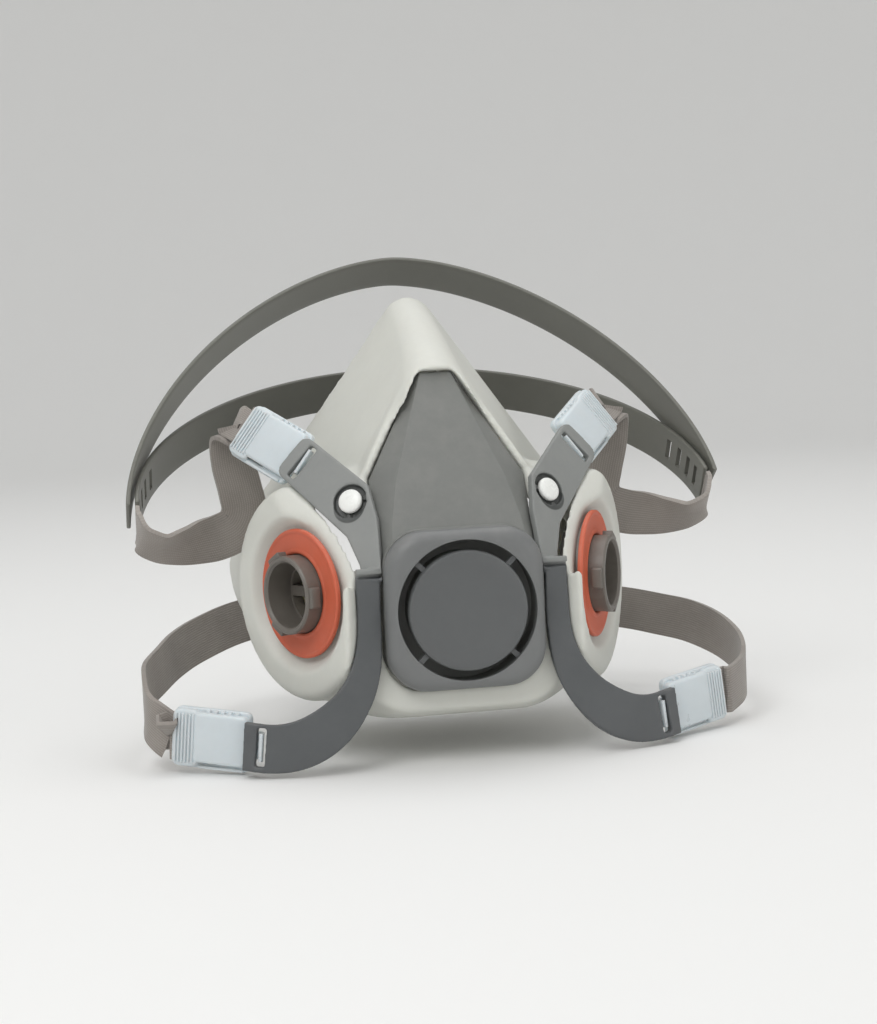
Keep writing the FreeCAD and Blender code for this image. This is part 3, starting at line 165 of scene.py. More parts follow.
def twin(piece, name, side):
    """A piece's own copy for the left or right. The left one is mirrored in X."""
    copy = piece.copy()
    copy.data = piece.data.copy()
    copy.name = name
    copy.data.name = name
    bpy.context.scene.collection.objects.link(copy)
    if side < 0:
        place_vertices(copy, Matrix.Scale(-1, 4, (1, 0, 0)))
        edit(copy)
        bpy.ops.mesh.select_all(action="SELECT")
        bpy.ops.mesh.flip_normals()
        finish_edit()
    return copy


def remove(piece):
    bpy.data.objects.remove(piece)


UP = Vector((0, 0, 1))
cover_low, cover_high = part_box("exhalation_cover")
valve_middle = Vector((0, 0, (cover_low.z + cover_high.z) / 2))
valve_place = frame_at(valve_middle, Vector((1, 0, 0)), UP, Vector((0, -1, 0)))
port = mounts["filter_port_right"]
port_out = Vector(port["axis"]).normalized()
PORT_FLOOR_BELOW_MOUNT = 3.6 * MM
port_spot = Vector(port["pos_m"]) - port_out * PORT_FLOOR_BELOW_MOUNT
port_place = frame_at(port_spot, UP.cross(port_out), UP, port_out)
ARM_OUT = Vector((0.474, -0.781, 0.407)).normalized()
ARM_ALONG = Vector((0.568, 0.624, 0.535))
ARM_ACROSS = ARM_OUT.cross(ARM_ALONG).normalized()
ARM_ALONG = ARM_ACROSS.cross(ARM_OUT)
STUD_TOP = Vector((31.6, -53.1, 1.6)) * MM
print("port", [round(value, 4) for value in port_spot], "valve", round(valve_middle.z, 4))

# %% [markdown]
# Two ways to begin a piece. A turned piece is an outline drawn with one vertex that is
# extruded from point to point, then spun round the Z axis, as on a lathe. A block is a
# cube with its edges bevelled, because no moulded plastic has a truly sharp edge.

# %% Helpers for turned pieces and blocks
def turned(name, outline, steps=96):
    """Spin a closed outline of (radius, height) points, in millimetres, round Z."""
    bpy.ops.object.select_all(action="DESELECT")
    bpy.ops.mesh.primitive_plane_add(size=MM, location=(0, 0, 0))
    piece = bpy.context.object
    piece.name = name
    edit(piece)
    bpy.ops.mesh.select_all(action="SELECT")
    bpy.ops.mesh.merge(type="CENTER")
    points = [Vector((radius, 0, height)) * MM for radius, height in outline]
    bpy.ops.transform.translate(value=points[0])
    for before, point in zip(points, points[1:]):
        bpy.ops.mesh.extrude_vertices_move(TRANSFORM_OT_translate={"value": point - before})
    if outline[0][0] > 0:
        bpy.ops.mesh.extrude_vertices_move(TRANSFORM_OT_translate={"value": points[0] - points[-1]})
    bpy.ops.mesh.select_all(action="SELECT")
    bpy.ops.mesh.remove_doubles(threshold=0.001 * MM)
    bpy.ops.mesh.spin(steps=steps, angle=math.tau, center=(0, 0, 0), axis=(0, 0, 1))
    finish_edit()
    clean(piece)
    return piece


def block(name, low, high):
    """A plain block between two corners, in millimetres."""
    bpy.ops.object.select_all(action="DESELECT")
    middle = [(a + b) / 2 * MM for a, b in zip(low, high)]
    bpy.ops.mesh.primitive_cube_add(size=1, location=middle)
    piece = bpy.context.object
    piece.name = name
    piece.scale = [(b - a) * MM for a, b in zip(low, high)]
    bpy.ops.object.transform_apply(location=True, rotation=True, scale=True)
    return piece


def drum(name, radius, low, high):
    """A cylinder round Z between two heights, in millimetres."""
    bpy.ops.object.select_all(action="DESELECT")
    bpy.ops.mesh.primitive_cylinder_add(
        vertices=96, radius=radius * MM, depth=(high - low) * MM, location=(0, 0, (low + high) / 2 * MM))
    piece = bpy.context.object
    piece.name = name
    bpy.ops.object.transform_apply(location=True, rotation=True, scale=True)
    return piece


def upright(edge):
    """True for an edge that runs along Z."""
    run = edge.verts[1].co - edge.verts[0].co
    return abs(run.z) > 0.9 * run.length


def rounded_block(name, low, high, corner, soften, steps=6):
    """A block with round upright corners and softened top and bottom edges."""
    piece = block(name, low, high)
    if corner > 0:
        edit(piece)
        pick(piece, "EDGE", upright)
        bpy.ops.mesh.bevel(offset=corner * MM, segments=steps)
        finish_edit()
    apply(piece, "BEVEL", width=soften * MM, segments=3, limit_method="ANGLE",
          angle_limit=math.radians(40))
    return piece


def combine(piece, others, operation="UNION"):
    """Join or cut one piece with others, and remove those."""
    for other in others:
        apply(piece, "BOOLEAN", object=other, operation=operation, solver="EXACT")
        remove(other)
    clean(piece)
    return piece


# %% [markdown]
# Some shapes come from the CAD node itself: a copy is merged, because a CAD mesh is loose
# triangles, and then softened. A hard piece has its flat faces dissolved to large ones and
# its edges bevelled. A moulded rubber piece is rebuilt on a fine grid and smoothed, which
# rounds every inner corner as well, and no bevel does that.

# %% Helpers for copies of CAD nodes
def copy_of(node, name):
    source = frame["nodes"][node]
    piece = source.copy()
    piece.data = source.data.copy()
    for key in list(piece.keys()):
        del piece[key]
    piece.parent = None
    piece.name = name
    piece.data.name = name
    bpy.context.scene.collection.objects.link(piece)
    piece.data.materials.clear()
    edit(piece)
    bpy.ops.mesh.select_all(action="SELECT")
    bpy.ops.mesh.remove_doubles(threshold=0.002 * MM)
    finish_edit()
    return piece


def softened(node, name, width, segments=2, degrees=32):
    """Copy of a hard CAD piece with bevelled edges."""
    piece = copy_of(node, name)
    apply(piece, "DECIMATE", decimate_type="DISSOLVE", angle_limit=math.radians(1.5))
    apply(piece, "BEVEL", width=width * MM, segments=segments, limit_method="ANGLE",
          angle_limit=math.radians(degrees), use_clamp_overlap=True)
    smooth(piece, 30)
    return piece


def moulded(node, name, grid, rounds, strength=0.5, extras=()):
    """Copy of a CAD piece, with any extras, rebuilt on a fine grid and smoothed as if moulded."""
    piece = copy_of(node, name)
    for extra in extras:
        only(piece)
        extra.select_set(True)
        bpy.ops.object.join()
    apply(piece, "REMESH", mode="VOXEL", voxel_size=grid * MM)
    apply(piece, "SMOOTH", factor=strength, iterations=rounds)
    only(piece)
    bpy.ops.object.shade_smooth()
    print(name, len(piece.data.polygons), "faces")
    return piece


# %% [markdown]
# Shader effects that several finishes share are node groups. Each takes a vector and a few
# values and gives back a colour or a height. The Principled shader stays in the material.

# %% Shared shader groups
def new_group(name, inputs, outputs):
    tree = bpy.data.node_groups.new(name, "ShaderNodeTree")
    for label, kind, value in inputs:
        socket = tree.interface.new_socket(label, in_out="INPUT", socket_type=kind)
        if value is not None:
            socket.default_value = value
    for label, kind in outputs:
        tree.interface.new_socket(label, in_out="OUTPUT", socket_type=kind)
    return tree, tree.nodes.new("NodeGroupInput"), tree.nodes.new("NodeGroupOutput")


def feed(tree, socket, value):
    """Link a socket, or set its value."""
    if isinstance(value, bpy.types.NodeSocket):
        tree.links.new(value, socket)
    else:
        socket.default_value = value


def maths(tree, operation, *values):
    node = tree.nodes.new("ShaderNodeMath")
    node.operation = operation
    for socket, value in zip(node.inputs, values):
        feed(tree, socket, value)
    return node.outputs[0]


def noise(tree, vector, scale, detail=2.0, roughness=0.5):
    node = tree.nodes.new("ShaderNodeTexNoise")
    node.noise_dimensions = "3D"
    feed(tree, node.inputs["Vector"], vector)
    feed(tree, node.inputs["Scale"], scale)
    node.inputs["Detail"].default_value = detail
    node.inputs["Roughness"].default_value = roughness
    return node.outputs["Fac"]


def span(tree, value, low, high, out_low, out_high):
    node = tree.nodes.new("ShaderNodeMapRange")
    for socket, item in zip(node.inputs[:5], (value, low, high, out_low, out_high)):
        feed(tree, socket, item)
    return node.outputs["Result"]


def blend_colour(tree, share, first, second, how="MIX"):
    node = tree.nodes.new("ShaderNodeMix")
    node.data_type = "RGBA"
    node.blend_type = how
    feed(tree, node.inputs[0], share)
    feed(tree, node.inputs[6], first)
    feed(tree, node.inputs[7], second)
    return node.outputs[2]


VECTOR = "NodeSocketVector"
FLOAT = "NodeSocketFloat"
COLOUR = "NodeSocketColor"


def make_drift_group():
    """Slow change of tone over a moulding, with faint flow marks."""
    tree, inside, outside = new_group(
        "tone_drift",
        [("Vector", VECTOR, None), ("Colour", COLOUR, None), ("Amount", FLOAT, 0.1),
         ("Scale", FLOAT, 30.0)],
        [("Colour", COLOUR), ("Mask", FLOAT)])
    vector = inside.outputs["Vector"]
    scale = inside.outputs["Scale"]
    broad = noise(tree, vector, scale, 3.0, 0.55)
    fine = noise(tree, vector, maths(tree, "MULTIPLY", scale, 14.0), 2.0, 0.6)
    mask = maths(tree, "ADD", maths(tree, "MULTIPLY", broad, 0.75), maths(tree, "MULTIPLY", fine, 0.25))
    low = maths(tree, "SUBTRACT", 1.0, inside.outputs["Amount"])
    high = maths(tree, "ADD", 1.0, inside.outputs["Amount"])
    gain = span(tree, mask, 0.3, 0.7, low, high)
    gain_colour = tree.nodes.new("ShaderNodeCombineColor")
    for channel in ("Red", "Green", "Blue"):
        feed(tree, gain_colour.inputs[channel], gain)
    colour = blend_colour(tree, 1.0, inside.outputs["Colour"], gain_colour.outputs[0], "MULTIPLY")
    feed(tree, outside.inputs["Colour"], colour)
    feed(tree, outside.inputs["Mask"], mask)
    return tree


def make_grain_group():
    """Fine spark-eroded grain, as a tool leaves it on a moulding."""
    tree, inside, outside = new_group(
        "mould_grain", [("Vector", VECTOR, None), ("Scale", FLOAT, 1600.0)], [("Height", FLOAT)])
    vector = inside.outputs["Vector"]
    coarse = noise(tree, vector, inside.outputs["Scale"], 3.0, 0.7)
    fine = noise(tree, vector, maths(tree, "MULTIPLY", inside.outputs["Scale"], 3.1), 1.0, 0.5)
    height = maths(tree, "ADD", maths(tree, "MULTIPLY", coarse, 0.7), maths(tree, "MULTIPLY", fine, 0.3))
    feed(tree, outside.inputs["Height"], height)
    return tree


def make_dust_group():
    """Pale dust that settles where a surface looks up, in uneven patches."""
    tree, inside, outside = new_group(
        "settled_dust",
        [("Vector", VECTOR, None), ("Colour", COLOUR, None), ("Dust", COLOUR, (0.5, 0.48, 0.44, 1)),
         ("Amount", FLOAT, 0.15)],
        [("Colour", COLOUR), ("Mask", FLOAT)])
    geometry = tree.nodes.new("ShaderNodeNewGeometry")
    split = tree.nodes.new("ShaderNodeSeparateXYZ")
    feed(tree, split.inputs[0], geometry.outputs["Normal"])
    upward = span(tree, split.outputs["Z"], -0.1, 0.9, 0.0, 1.0)
    patches = span(tree, noise(tree, inside.outputs["Vector"], 160.0, 5.0, 0.65), 0.42, 0.72, 0.0, 1.0)
    mask = maths(tree, "MULTIPLY", maths(tree, "MULTIPLY", upward, patches), inside.outputs["Amount"])
    feed(tree, outside.inputs["Colour"], blend_colour(tree, mask, inside.outputs["Colour"],
                                                      inside.outputs["Dust"]))
    feed(tree, outside.inputs["Mask"], mask)
    return tree


def make_weave_group():
    """Narrow elastic: ribs along the strap, with small stitches across them."""
    tree, inside, outside = new_group(
        "elastic_weave",
        [("Vector", VECTOR, None), ("Rib", FLOAT, 1.0), ("Stitch", FLOAT, 0.75)],
        [("Height", FLOAT), ("Groove", FLOAT)])
    split = tree.nodes.new("ShaderNodeSeparateXYZ")
    feed(tree, split.inputs[0], inside.outputs["Vector"])
    along, across = split.outputs["X"], split.outputs["Y"]
    rib_turn = maths(tree, "DIVIDE", across, inside.outputs["Rib"])
    rib_wave = maths(tree, "COSINE", maths(tree, "MULTIPLY", rib_turn, math.tau))
    shift = maths(tree, "MULTIPLY", maths(tree, "ROUND", rib_turn), math.pi)
    stitch_turn = maths(tree, "MULTIPLY", maths(tree, "DIVIDE", along, inside.outputs["Stitch"]), math.tau)
    stitch_wave = maths(tree, "COSINE", maths(tree, "ADD", stitch_turn, shift))
    height = maths(tree, "ADD", maths(tree, "MULTIPLY", rib_wave, 0.32),
                   maths(tree, "MULTIPLY", stitch_wave, 0.18))
    height = maths(tree, "ADD", height, 0.5)
    feed(tree, outside.inputs["Height"], height)
    feed(tree, outside.inputs["Groove"], span(tree, rib_wave, -1.0, -0.3, 1.0, 0.0))
    return tree


DRIFT = make_drift_group()
GRAIN = make_grain_group()
DUST = make_dust_group()
WEAVE = make_weave_group()
print("groups", [tree.name for tree in bpy.data.node_groups])

# %% [markdown]
# One function makes every moulded finish: a tone that drifts slightly, fine grain in the
# surface, a roughness that varies with it, and a little dust on top. Rubber gets some
# light under its skin, and the buckles a lot more, because they are milky.
# It can also paint shade into the colour: a darker tone under a given height, and a dark ring round a given spot.

# %% Moulded finishes
def use_group(tree, group, **values):
    node = tree.nodes.new("ShaderNodeGroup")
    node.node_tree = group
    for label, value in values.items():
        feed(tree, node.inputs[label], value)
    return node


def principled(material):
    return next(node for node in material.node_tree.nodes if node.type == "BSDF_PRINCIPLED")


def moulded_finish(name, colour, roughness=0.5, grain=1600.0, bump=0.03, drift=0.05, dust=0.1,
                   under_skin=0.0, radius=(1.0, 1.0, 1.0), below=None, ring=None,
                   **shader_values):
    """Finish of a moulding. "below" gives a height in mm and a darker colour painted under that height as shade,
    and
    "ring" a spot, a radius in mm and a dark colour painted within it as shade, on both sides."""
    material = bpy.data.materials.new(name)
    material.use_nodes = True
    tree = material.node_tree
    shader = principled(material)
    place = tree.nodes.new("ShaderNodeTexCoord").outputs["Object"]
    base = (*colour, 1)
    # Painted shade: inside the given radius round the spot, mirrored to both sides, the colour turns dark, as the
    # shadow in a recess.
    if ring:
        spot, reach, shade = ring
        flip = tree.nodes.new("ShaderNodeVectorMath")
        flip.operation = "ABSOLUTE"
        feed(tree, flip.inputs[0], place)
        gap = tree.nodes.new("ShaderNodeVectorMath")
        gap.operation = "DISTANCE"
        feed(tree, gap.inputs[0], flip.outputs["Vector"])
        gap.inputs[1].default_value = [abs(value) for value in spot]
        share = span(tree, gap.outputs["Value"], (reach - 0.15) * MM, (reach + 0.15) * MM, 1.0, 0.0)
        base = blend_colour(tree, share, base, (*shade, 1))
    # Painted shade: the surface under the given height takes a darker colour, as if out of the light.
    if below:
        height, painted_shade_colour = below
        split = tree.nodes.new("ShaderNodeSeparateXYZ")
        feed(tree, split.inputs[0], place)
        share = span(tree, split.outputs["Z"], (height + 0.4) * MM, (height - 0.4) * MM, 0.0, 1.0)
        base = blend_colour(tree, share, base, (*painted_shade_colour, 1))
    toned = use_group(tree, DRIFT, Vector=place, Colour=base, Amount=drift, Scale=32.0)
    dusted = use_group(tree, DUST, Vector=place, Colour=toned.outputs["Colour"], Amount=dust)
    feed(tree, shader.inputs["Base Color"], dusted.outputs["Colour"])
    rough = span(tree, toned.outputs["Mask"], 0.3, 0.7, roughness - 0.05, roughness + 0.06)
    feed(tree, shader.inputs["Roughness"], rough)
    height = use_group(tree, GRAIN, Vector=place, Scale=grain).outputs["Height"]
    bumped = tree.nodes.new("ShaderNodeBump")
    bumped.inputs["Distance"].default_value = bump * MM
    bumped.inputs["Strength"].default_value = 0.6
    feed(tree, bumped.inputs["Height"], height)
    feed(tree, shader.inputs["Normal"], bumped.outputs["Normal"])
    shader.inputs["Subsurface Weight"].default_value = under_skin
    shader.inputs["Subsurface Radius"].default_value = radius
    shader.inputs["Subsurface Scale"].default_value = 2.0 * MM
    for label, value in shader_values.items():
        shader.inputs[label.replace("_", " ").title()].default_value = value
    return material


cup_rubber = moulded_finish("cup_rubber", (0.66, 0.665, 0.615), roughness=0.47, grain=1100.0,
                            bump=0.02, drift=0.035, dust=0.12, under_skin=0.12, radius=(1.0, 0.9, 0.75))
frame_plastic = moulded_finish("frame_plastic", (0.185, 0.19, 0.18), roughness=0.5, bump=0.04, drift=0.05)
cover_plastic = moulded_finish("cover_plastic", (0.17, 0.175, 0.175), roughness=0.46, bump=0.03)
disc_plastic = moulded_finish("disc_plastic", (0.105, 0.11, 0.112), roughness=0.42, grain=2400.0, bump=0.025)
# The yoke's base colour is its lit tone; below z = -20.6 mm the lower arm gets a much darker tone painted as
# shade.
yoke_plastic = moulded_finish("yoke_plastic", (0.235, 0.243, 0.236), roughness=0.45, bump=0.03, drift=0.06,
                              below=(-20.6, (0.092, 0.098, 0.102)),
                              # Painted shadow: the floor of the sunk ring round each stud is coloured near black.
                              ring=(STUD_TOP - ARM_OUT * 1.2 * MM, 5.55, (0.06, 0.064, 0.062)))
port_plastic = moulded_finish("port_plastic", (0.15, 0.135, 0.118), roughness=0.4, bump=0.02, drift=0.07)
ring_plastic = moulded_finish("ring_plastic", (0.16, 0.15, 0.14), roughness=0.45, bump=0.02)
gasket_rubber = moulded_finish("gasket_rubber", (0.60, 0.125, 0.062), roughness=0.5, grain=900.0, bump=0.03,
                               drift=0.08, dust=0.2, under_skin=0.08, radius=(1.0, 0.35, 0.2))
stud_plastic = moulded_finish("stud_plastic", (0.86, 0.87, 0.84), roughness=0.28, bump=0.01, drift=0.02,
                              under_skin=0.2)
cradle_plastic = moulded_finish("cradle_plastic", (0.155, 0.155, 0.135), roughness=0.42, grain=900.0,
                                bump=0.03, drift=0.07)
clasp_plastic = moulded_finish("clasp_plastic", (0.15, 0.155, 0.15), roughness=0.42)
flap_rubber = moulded_finish("flap_rubber", (0.72, 0.66, 0.48), roughness=0.35, bump=0.01, under_skin=0.25,
                             radius=(1.0, 0.8, 0.5))
buckle_plastic = moulded_finish("buckle_plastic", (0.70, 0.76, 0.79), roughness=0.3, grain=700.0, bump=0.02,
                                drift=0.04, dust=0.1, under_skin=0.5, radius=(0.8, 0.95, 1.0),
                                transmission_weight=0.1)
print("finishes", len(bpy.data.materials))

# %% [markdown]
# The elastic is knitted rubber and yarn. Its pattern follows the strap, so it reads the
# strap's own UV map, which holds millimetres along and across.

# %% Woven elastic
def woven_finish(name, dark, light):
    material = bpy.data.materials.new(name)
    material.use_nodes = True
    tree = material.node_tree
    shader = principled(material)
    along = tree.nodes.new("ShaderNodeUVMap")
    along.uv_map = "UVMap"
    place = tree.nodes.new("ShaderNodeTexCoord").outputs["Object"]
    weave = use_group(tree, WEAVE, Vector=along.outputs[0], Rib=0.78, Stitch=0.7)
    yarn = blend_colour(tree, weave.outputs["Height"], (*dark, 1), (*light, 1))
    toned = use_group(tree, DRIFT, Vector=place, Colour=yarn, Amount=0.12, Scale=60.0)
    dusted = use_group(tree, DUST, Vector=place, Colour=toned.outputs["Colour"], Amount=0.15)
    feed(tree, shader.inputs["Base Color"], dusted.outputs["Colour"])
    feed(tree, shader.inputs["Roughness"], span(tree, weave.outputs["Groove"], 0.0, 1.0, 0.72, 0.92))
    bumped = tree.nodes.new("ShaderNodeBump")
    bumped.inputs["Distance"].default_value = 0.07 * MM
    bumped.inputs["Strength"].default_value = 0.7
    feed(tree, bumped.inputs["Height"], weave.outputs["Height"])
    feed(tree, shader.inputs["Normal"], bumped.outputs["Normal"])
    shader.inputs["Sheen Weight"].default_value = 0.25
    shader.inputs["Sheen Roughness"].default_value = 0.5
    return material


elastic = woven_finish("elastic", (0.225, 0.2, 0.18), (0.315, 0.288, 0.262))


def dress(piece, material, slot, body, *nodes):
    """Give a piece its finish and its body, and hide the CAD nodes that it stands for."""
    piece.data.materials.clear()
    piece.data.materials.append(material)
    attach(piece, body)
    if nodes:
        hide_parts(*nodes)
    return piece


# %% [markdown]
# The cup is the part that touches the face: one soft moulding with a nose bridge, two
# cheek bosses and an inturned lip. All its corners flow into each other, so it is rebuilt
# from its CAD solid on a fine grid and smoothed.

# %% Face cup
face_cup = moulded("facepiece", "face_cup", grid=0.95, rounds=14)
dress(face_cup, cup_rubber, "cup_rubber", "half_mask", "facepiece")

# %% [markdown]
# The nose panel, the square valve housing and the air duct are one hard moulding. Its
# faces are flat and its edges crisp, so it keeps its CAD shape with fine bevels.

# %% Nose panel and valve housing
nose_frame = softened("front_frame", "nose_frame", width=0.45, segments=3)
dress(nose_frame, frame_plastic, "frame_plastic", "half_mask", "front_frame")

# %% [markdown]
# The valve cover is a pillow-shaped square cap. A cube gets big round corners and a big
# rounding in front, its back is hollowed, and a round window is cut through it. A plain
# disc fills the window, held by four thin spokes that leave a ring of slots for the air.

# %% Valve cover
HALF = 24.6
COVER_BACK = -cover_high.y / MM
COVER_FRONT = -cover_low.y / MM
FRAME_FRONT = COVER_FRONT - 1.4
WINDOW = 21.5
DISC = 18.3


def make_cover():
    piece = block("valve_cover", (-HALF, -HALF, COVER_BACK), (HALF, HALF, FRAME_FRONT))
    edit(piece)
    pick(piece, "EDGE", upright)
    bpy.ops.mesh.bevel(offset=12.5 * MM, segments=12)
    front = FRAME_FRONT * MM - 0.01 * MM
    pick(piece, "EDGE", lambda edge: all(vertex.co.z > front for vertex in edge.verts))
    bpy.ops.mesh.bevel(offset=4.6 * MM, segments=8, profile=0.5)
    back = COVER_BACK * MM + 0.01 * MM
    pick(piece, "FACE", lambda face: face.calc_center_median().z < back)
    bpy.ops.mesh.inset(thickness=2.2 * MM)
    bpy.ops.mesh.extrude_region_move(TRANSFORM_OT_translate={"value": (0, 0, 3.0 * MM)})
    finish_edit()
    clean(piece)
    combine(piece, [drum("window", WINDOW, COVER_BACK - 2, COVER_FRONT + 2)], "DIFFERENCE")
    apply(piece, "BEVEL", width=0.45 * MM, segments=3, limit_method="ANGLE",
          angle_limit=math.radians(50))
    return piece


def make_disc():
    disc = turned("valve_disc", [
        (0, COVER_FRONT - 3.2), (DISC, COVER_FRONT - 3.2), (DISC, COVER_FRONT - 0.8),
        (DISC - 0.25, COVER_FRONT - 0.25), (DISC - 0.8, COVER_FRONT), (DISC - 3.2, COVER_FRONT - 0.05),
        (0, COVER_FRONT - 0.1)])
    spokes = []
    for quarter in range(4):
        spoke = block("spoke", (DISC - 1, -0.8, COVER_FRONT - 4.2), (WINDOW + 1, 0.8, FRAME_FRONT - 1.2))
        set_down(spoke, Matrix.Rotation(math.radians(45 + 90 * quarter), 4, "Z"))
        spokes.append(spoke)
    return combine(disc, spokes)


valve_cover = make_cover()
valve_disc = make_disc()
for piece, finish in ((valve_cover, cover_plastic), (valve_disc, disc_plastic)):
    set_down(piece, valve_place)
    smooth(piece)
    dress(piece, finish, "cover_plastic", "valve_cover")
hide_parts("exhalation_cover")
print("cover", len(valve_cover.data.polygons), "faces")

# %% [markdown]
# Each filter port is a collar with three lugs for a quarter-turn filter. It is turned like
# a pipe, and the lugs, the web inside and its hub are small bevelled blocks joined to it.

# %% Bayonet collars
BORE, LEDGE_BORE, OUTER, RIM = 10.25, 9.4, 12.25, 8.2
LUG_REACH, LUG_HALF, LUG_TOP, LUG_DEEP = 13.6, 3.2, RIM - 0.6, 3.2
WEB_TOP, WEB_DEEP, WEB_HALF = -1.0, 2.2, 1.7


def make_collar():
    collar = turned("collar", [
        (LEDGE_BORE, -4.6), (LEDGE_BORE + 0.4, -5), (OUTER, -5), (OUTER, 0), (17.7, 0), (18, 0.3),
        (18, 1.2), (17.7, 1.5), (OUTER + 0.5, 1.5), (OUTER, 2.0), (OUTER, RIM - 0.5), (OUTER - 0.5, RIM),
        (BORE + 0.7, RIM), (BORE, RIM - 0.7), (BORE, WEB_TOP), (LEDGE_BORE, WEB_TOP)])
    extras = []
    for third in range(3):
        lug = rounded_block("lug", (OUTER - 1, -LUG_HALF, LUG_TOP - LUG_DEEP), (LUG_REACH, LUG_HALF, LUG_TOP),
                            0.6, 0.25)
        spoke = rounded_block(
            "spoke", (0, -WEB_HALF, WEB_TOP - WEB_DEEP), (BORE + 0.8, WEB_HALF, WEB_TOP - 0.02), 0, 0.3)
        extras.append(set_down(lug, Matrix.Rotation(math.radians(60 + 120 * third), 4, "Z")))
        extras.append(set_down(spoke, Matrix.Rotation(math.radians(120 * third), 4, "Z")))
    extras.append(turned("hub", [(0, -8.0), (2.2, -8.0), (2.2, -7.5), (1.1, -7.3), (1.1, -3.1), (3.2, -3.1),
                                 (3.2, -0.9), (2.8, -0.6), (0, -0.5)], steps=48))
    return combine(collar, extras)


collar = set_down(make_collar(), port_place)
smooth(collar)
for side_name, side in SIDES.items():
    piece = twin(collar, "bayonet_collar_" + side_name, side)
    smooth(piece)
    dress(piece, port_plastic, "port_plastic", "half_mask", "bayonet_" + side_name)
remove(collar)

# %% [markdown]
# The filter seals on a soft red washer with a raised bead at its inner and outer edge.

# %% Port gaskets
gasket = turned("gasket", [
    (12.55, 1.5), (20.1, 1.5), (20.3, 1.8), (20.3, 2.7), (20.1, 2.95), (19.7, 3.1), (19.2, 3.05),
    (18.9, 2.8), (18.5, 2.7), (14.4, 2.7), (14.0, 2.8), (13.7, 3.05), (13.2, 3.1), (12.75, 3.0),
    (12.55, 2.75)])
set_down(gasket, port_place)
for side_name, side in SIDES.items():
    piece = twin(gasket, "port_gasket_" + side_name, side)
    smooth(piece, 50)
    dress(piece, gasket_rubber, "gasket_rubber", "half_mask", "gasket_" + side_name)
remove(gasket)

# %% [markdown]
# A yoke is one bent moulding: a flat upper arm with a slot for its buckle, a sunk ring
# round its stud, and a lower arm that curls under the cheek. Two small bridges cross the ring.

# %% Yokes
YOKE_THICK, YOKE_END, YOKE_BAR = 2.4 * MM, 27.8 * MM, 4.0 * MM
BRIDGE_TURNS = (130, -126)
BRIDGE_LOW, BRIDGE_HIGH = (4.1, -0.7, 0.4), (6.4, 0.7, 2.1)
arm_place = frame_at(STUD_TOP - ARM_OUT * YOKE_THICK, ARM_ALONG, ARM_ACROSS, ARM_OUT)
for side_name, side in SIDES.items():
    bridges = []
    for turn in BRIDGE_TURNS:
        bridge = block("bridge", BRIDGE_LOW, BRIDGE_HIGH)
        set_down(bridge, arm_place @ Matrix.Rotation(math.radians(turn), 4, "Z"))
        bridges.append(twin(bridge, "bridge_copy", side))
        remove(bridge)
    piece = moulded("yoke_" + side_name, "yoke_arm_" + side_name, grid=0.38, rounds=3, extras=bridges)
    dress(piece, yoke_plastic, "yoke_plastic", "half_mask", "yoke_" + side_name)

# %% [markdown]
# The studs are domed buttons, turned in one go.

# %% Studs
stud = turned("stud", [
    (0, -5), (2.1, -5), (2.4, -4.6), (2.4, 1.2), (3.6, 1.2), (3.8, 1.4), (3.8, 2.3), (3.6, 2.75),
    (3.0, 3.05), (1.8, 3.18), (0, 3.2)], steps=64)
set_down(stud, arm_place)
for side_name, side in SIDES.items():
    piece = twin(stud, "yoke_stud_" + side_name, side)
    smooth(piece, 50)
    dress(piece, stud_plastic, "stud_plastic", "half_mask", "stud_" + side_name)
remove(stud)

# %% [markdown]
# Straps and bands are ribbons. A grid is laid along a smooth line through given
# stations, each with its own width direction, and then given thickness and soft edges.

# %% Ribbons
def smooth_line(points, share):
    """Point on a Catmull-Rom curve through the given points, share from 0 to 1."""
    last = len(points) - 1
    spot = share * last
    index = min(int(spot), last - 1)
    local = spot - index
    ahead = points[min(index + 2, last)]
    before = points[max(index - 1, 0)]
    here, there = points[index], points[index + 1]
    return 0.5 * (2 * here + (there - before) * local
                  + (2 * before - 5 * here + 4 * there - ahead) * local ** 2
                  + (3 * here - before - 3 * there + ahead) * local ** 3)


def ribbon(name, stations, thickness, columns=120, rows=6, soften=0.45):
    """Ribbon through stations of (middle, width direction, width), in millimetres."""
    middles = [Vector(middle) for middle, across, width in stations]
    acrosses = [Vector(across).normalized() for middle, across, width in stations]
    widths = [Vector((width, 0, 0)) for middle, across, width in stations]
    shares = [column / columns for column in range(columns + 1)]
    line = [smooth_line(middles, share) for share in shares]
    lengths = [0.0]
    for first, second in zip(line, line[1:]):
        lengths.append(lengths[-1] + (second - first).length)
    bpy.ops.object.select_all(action="DESELECT")
    bpy.ops.mesh.primitive_grid_add(x_subdivisions=columns, y_subdivisions=rows, size=1)
    piece = bpy.context.object
    piece.name = name
    mesh = piece.data
    uvs = mesh.uv_layers.active.data
    for loop in mesh.loops:
        corner = mesh.vertices[loop.vertex_index].co
        column = round((corner.x + 0.5) * columns)
        width = smooth_line(widths, shares[column]).x
        uvs[loop.index].uv = (lengths[column], (corner.y + 0.5) * width)
    for vertex in mesh.vertices:
        column = round((vertex.co.x + 0.5) * columns)
        share = shares[column]
        along = line[min(column + 1, columns)] - line[max(column - 1, 0)]
        along.normalize()
        across = smooth_line(acrosses, share)
        across = (across - along * across.dot(along)).normalized()
        width = smooth_line(widths, share).x
        vertex.co = (line[column] + across * (vertex.co.y * width)) * MM
    apply(piece, "SOLIDIFY", thickness=thickness * MM, offset=0)
    apply(piece, "BEVEL", width=soften * MM, segments=3, limit_method="ANGLE",
          angle_limit=math.radians(50))
    smooth(piece, 40)
    print(name, "length", round(lengths[-1], 1), "mm")
    return piece


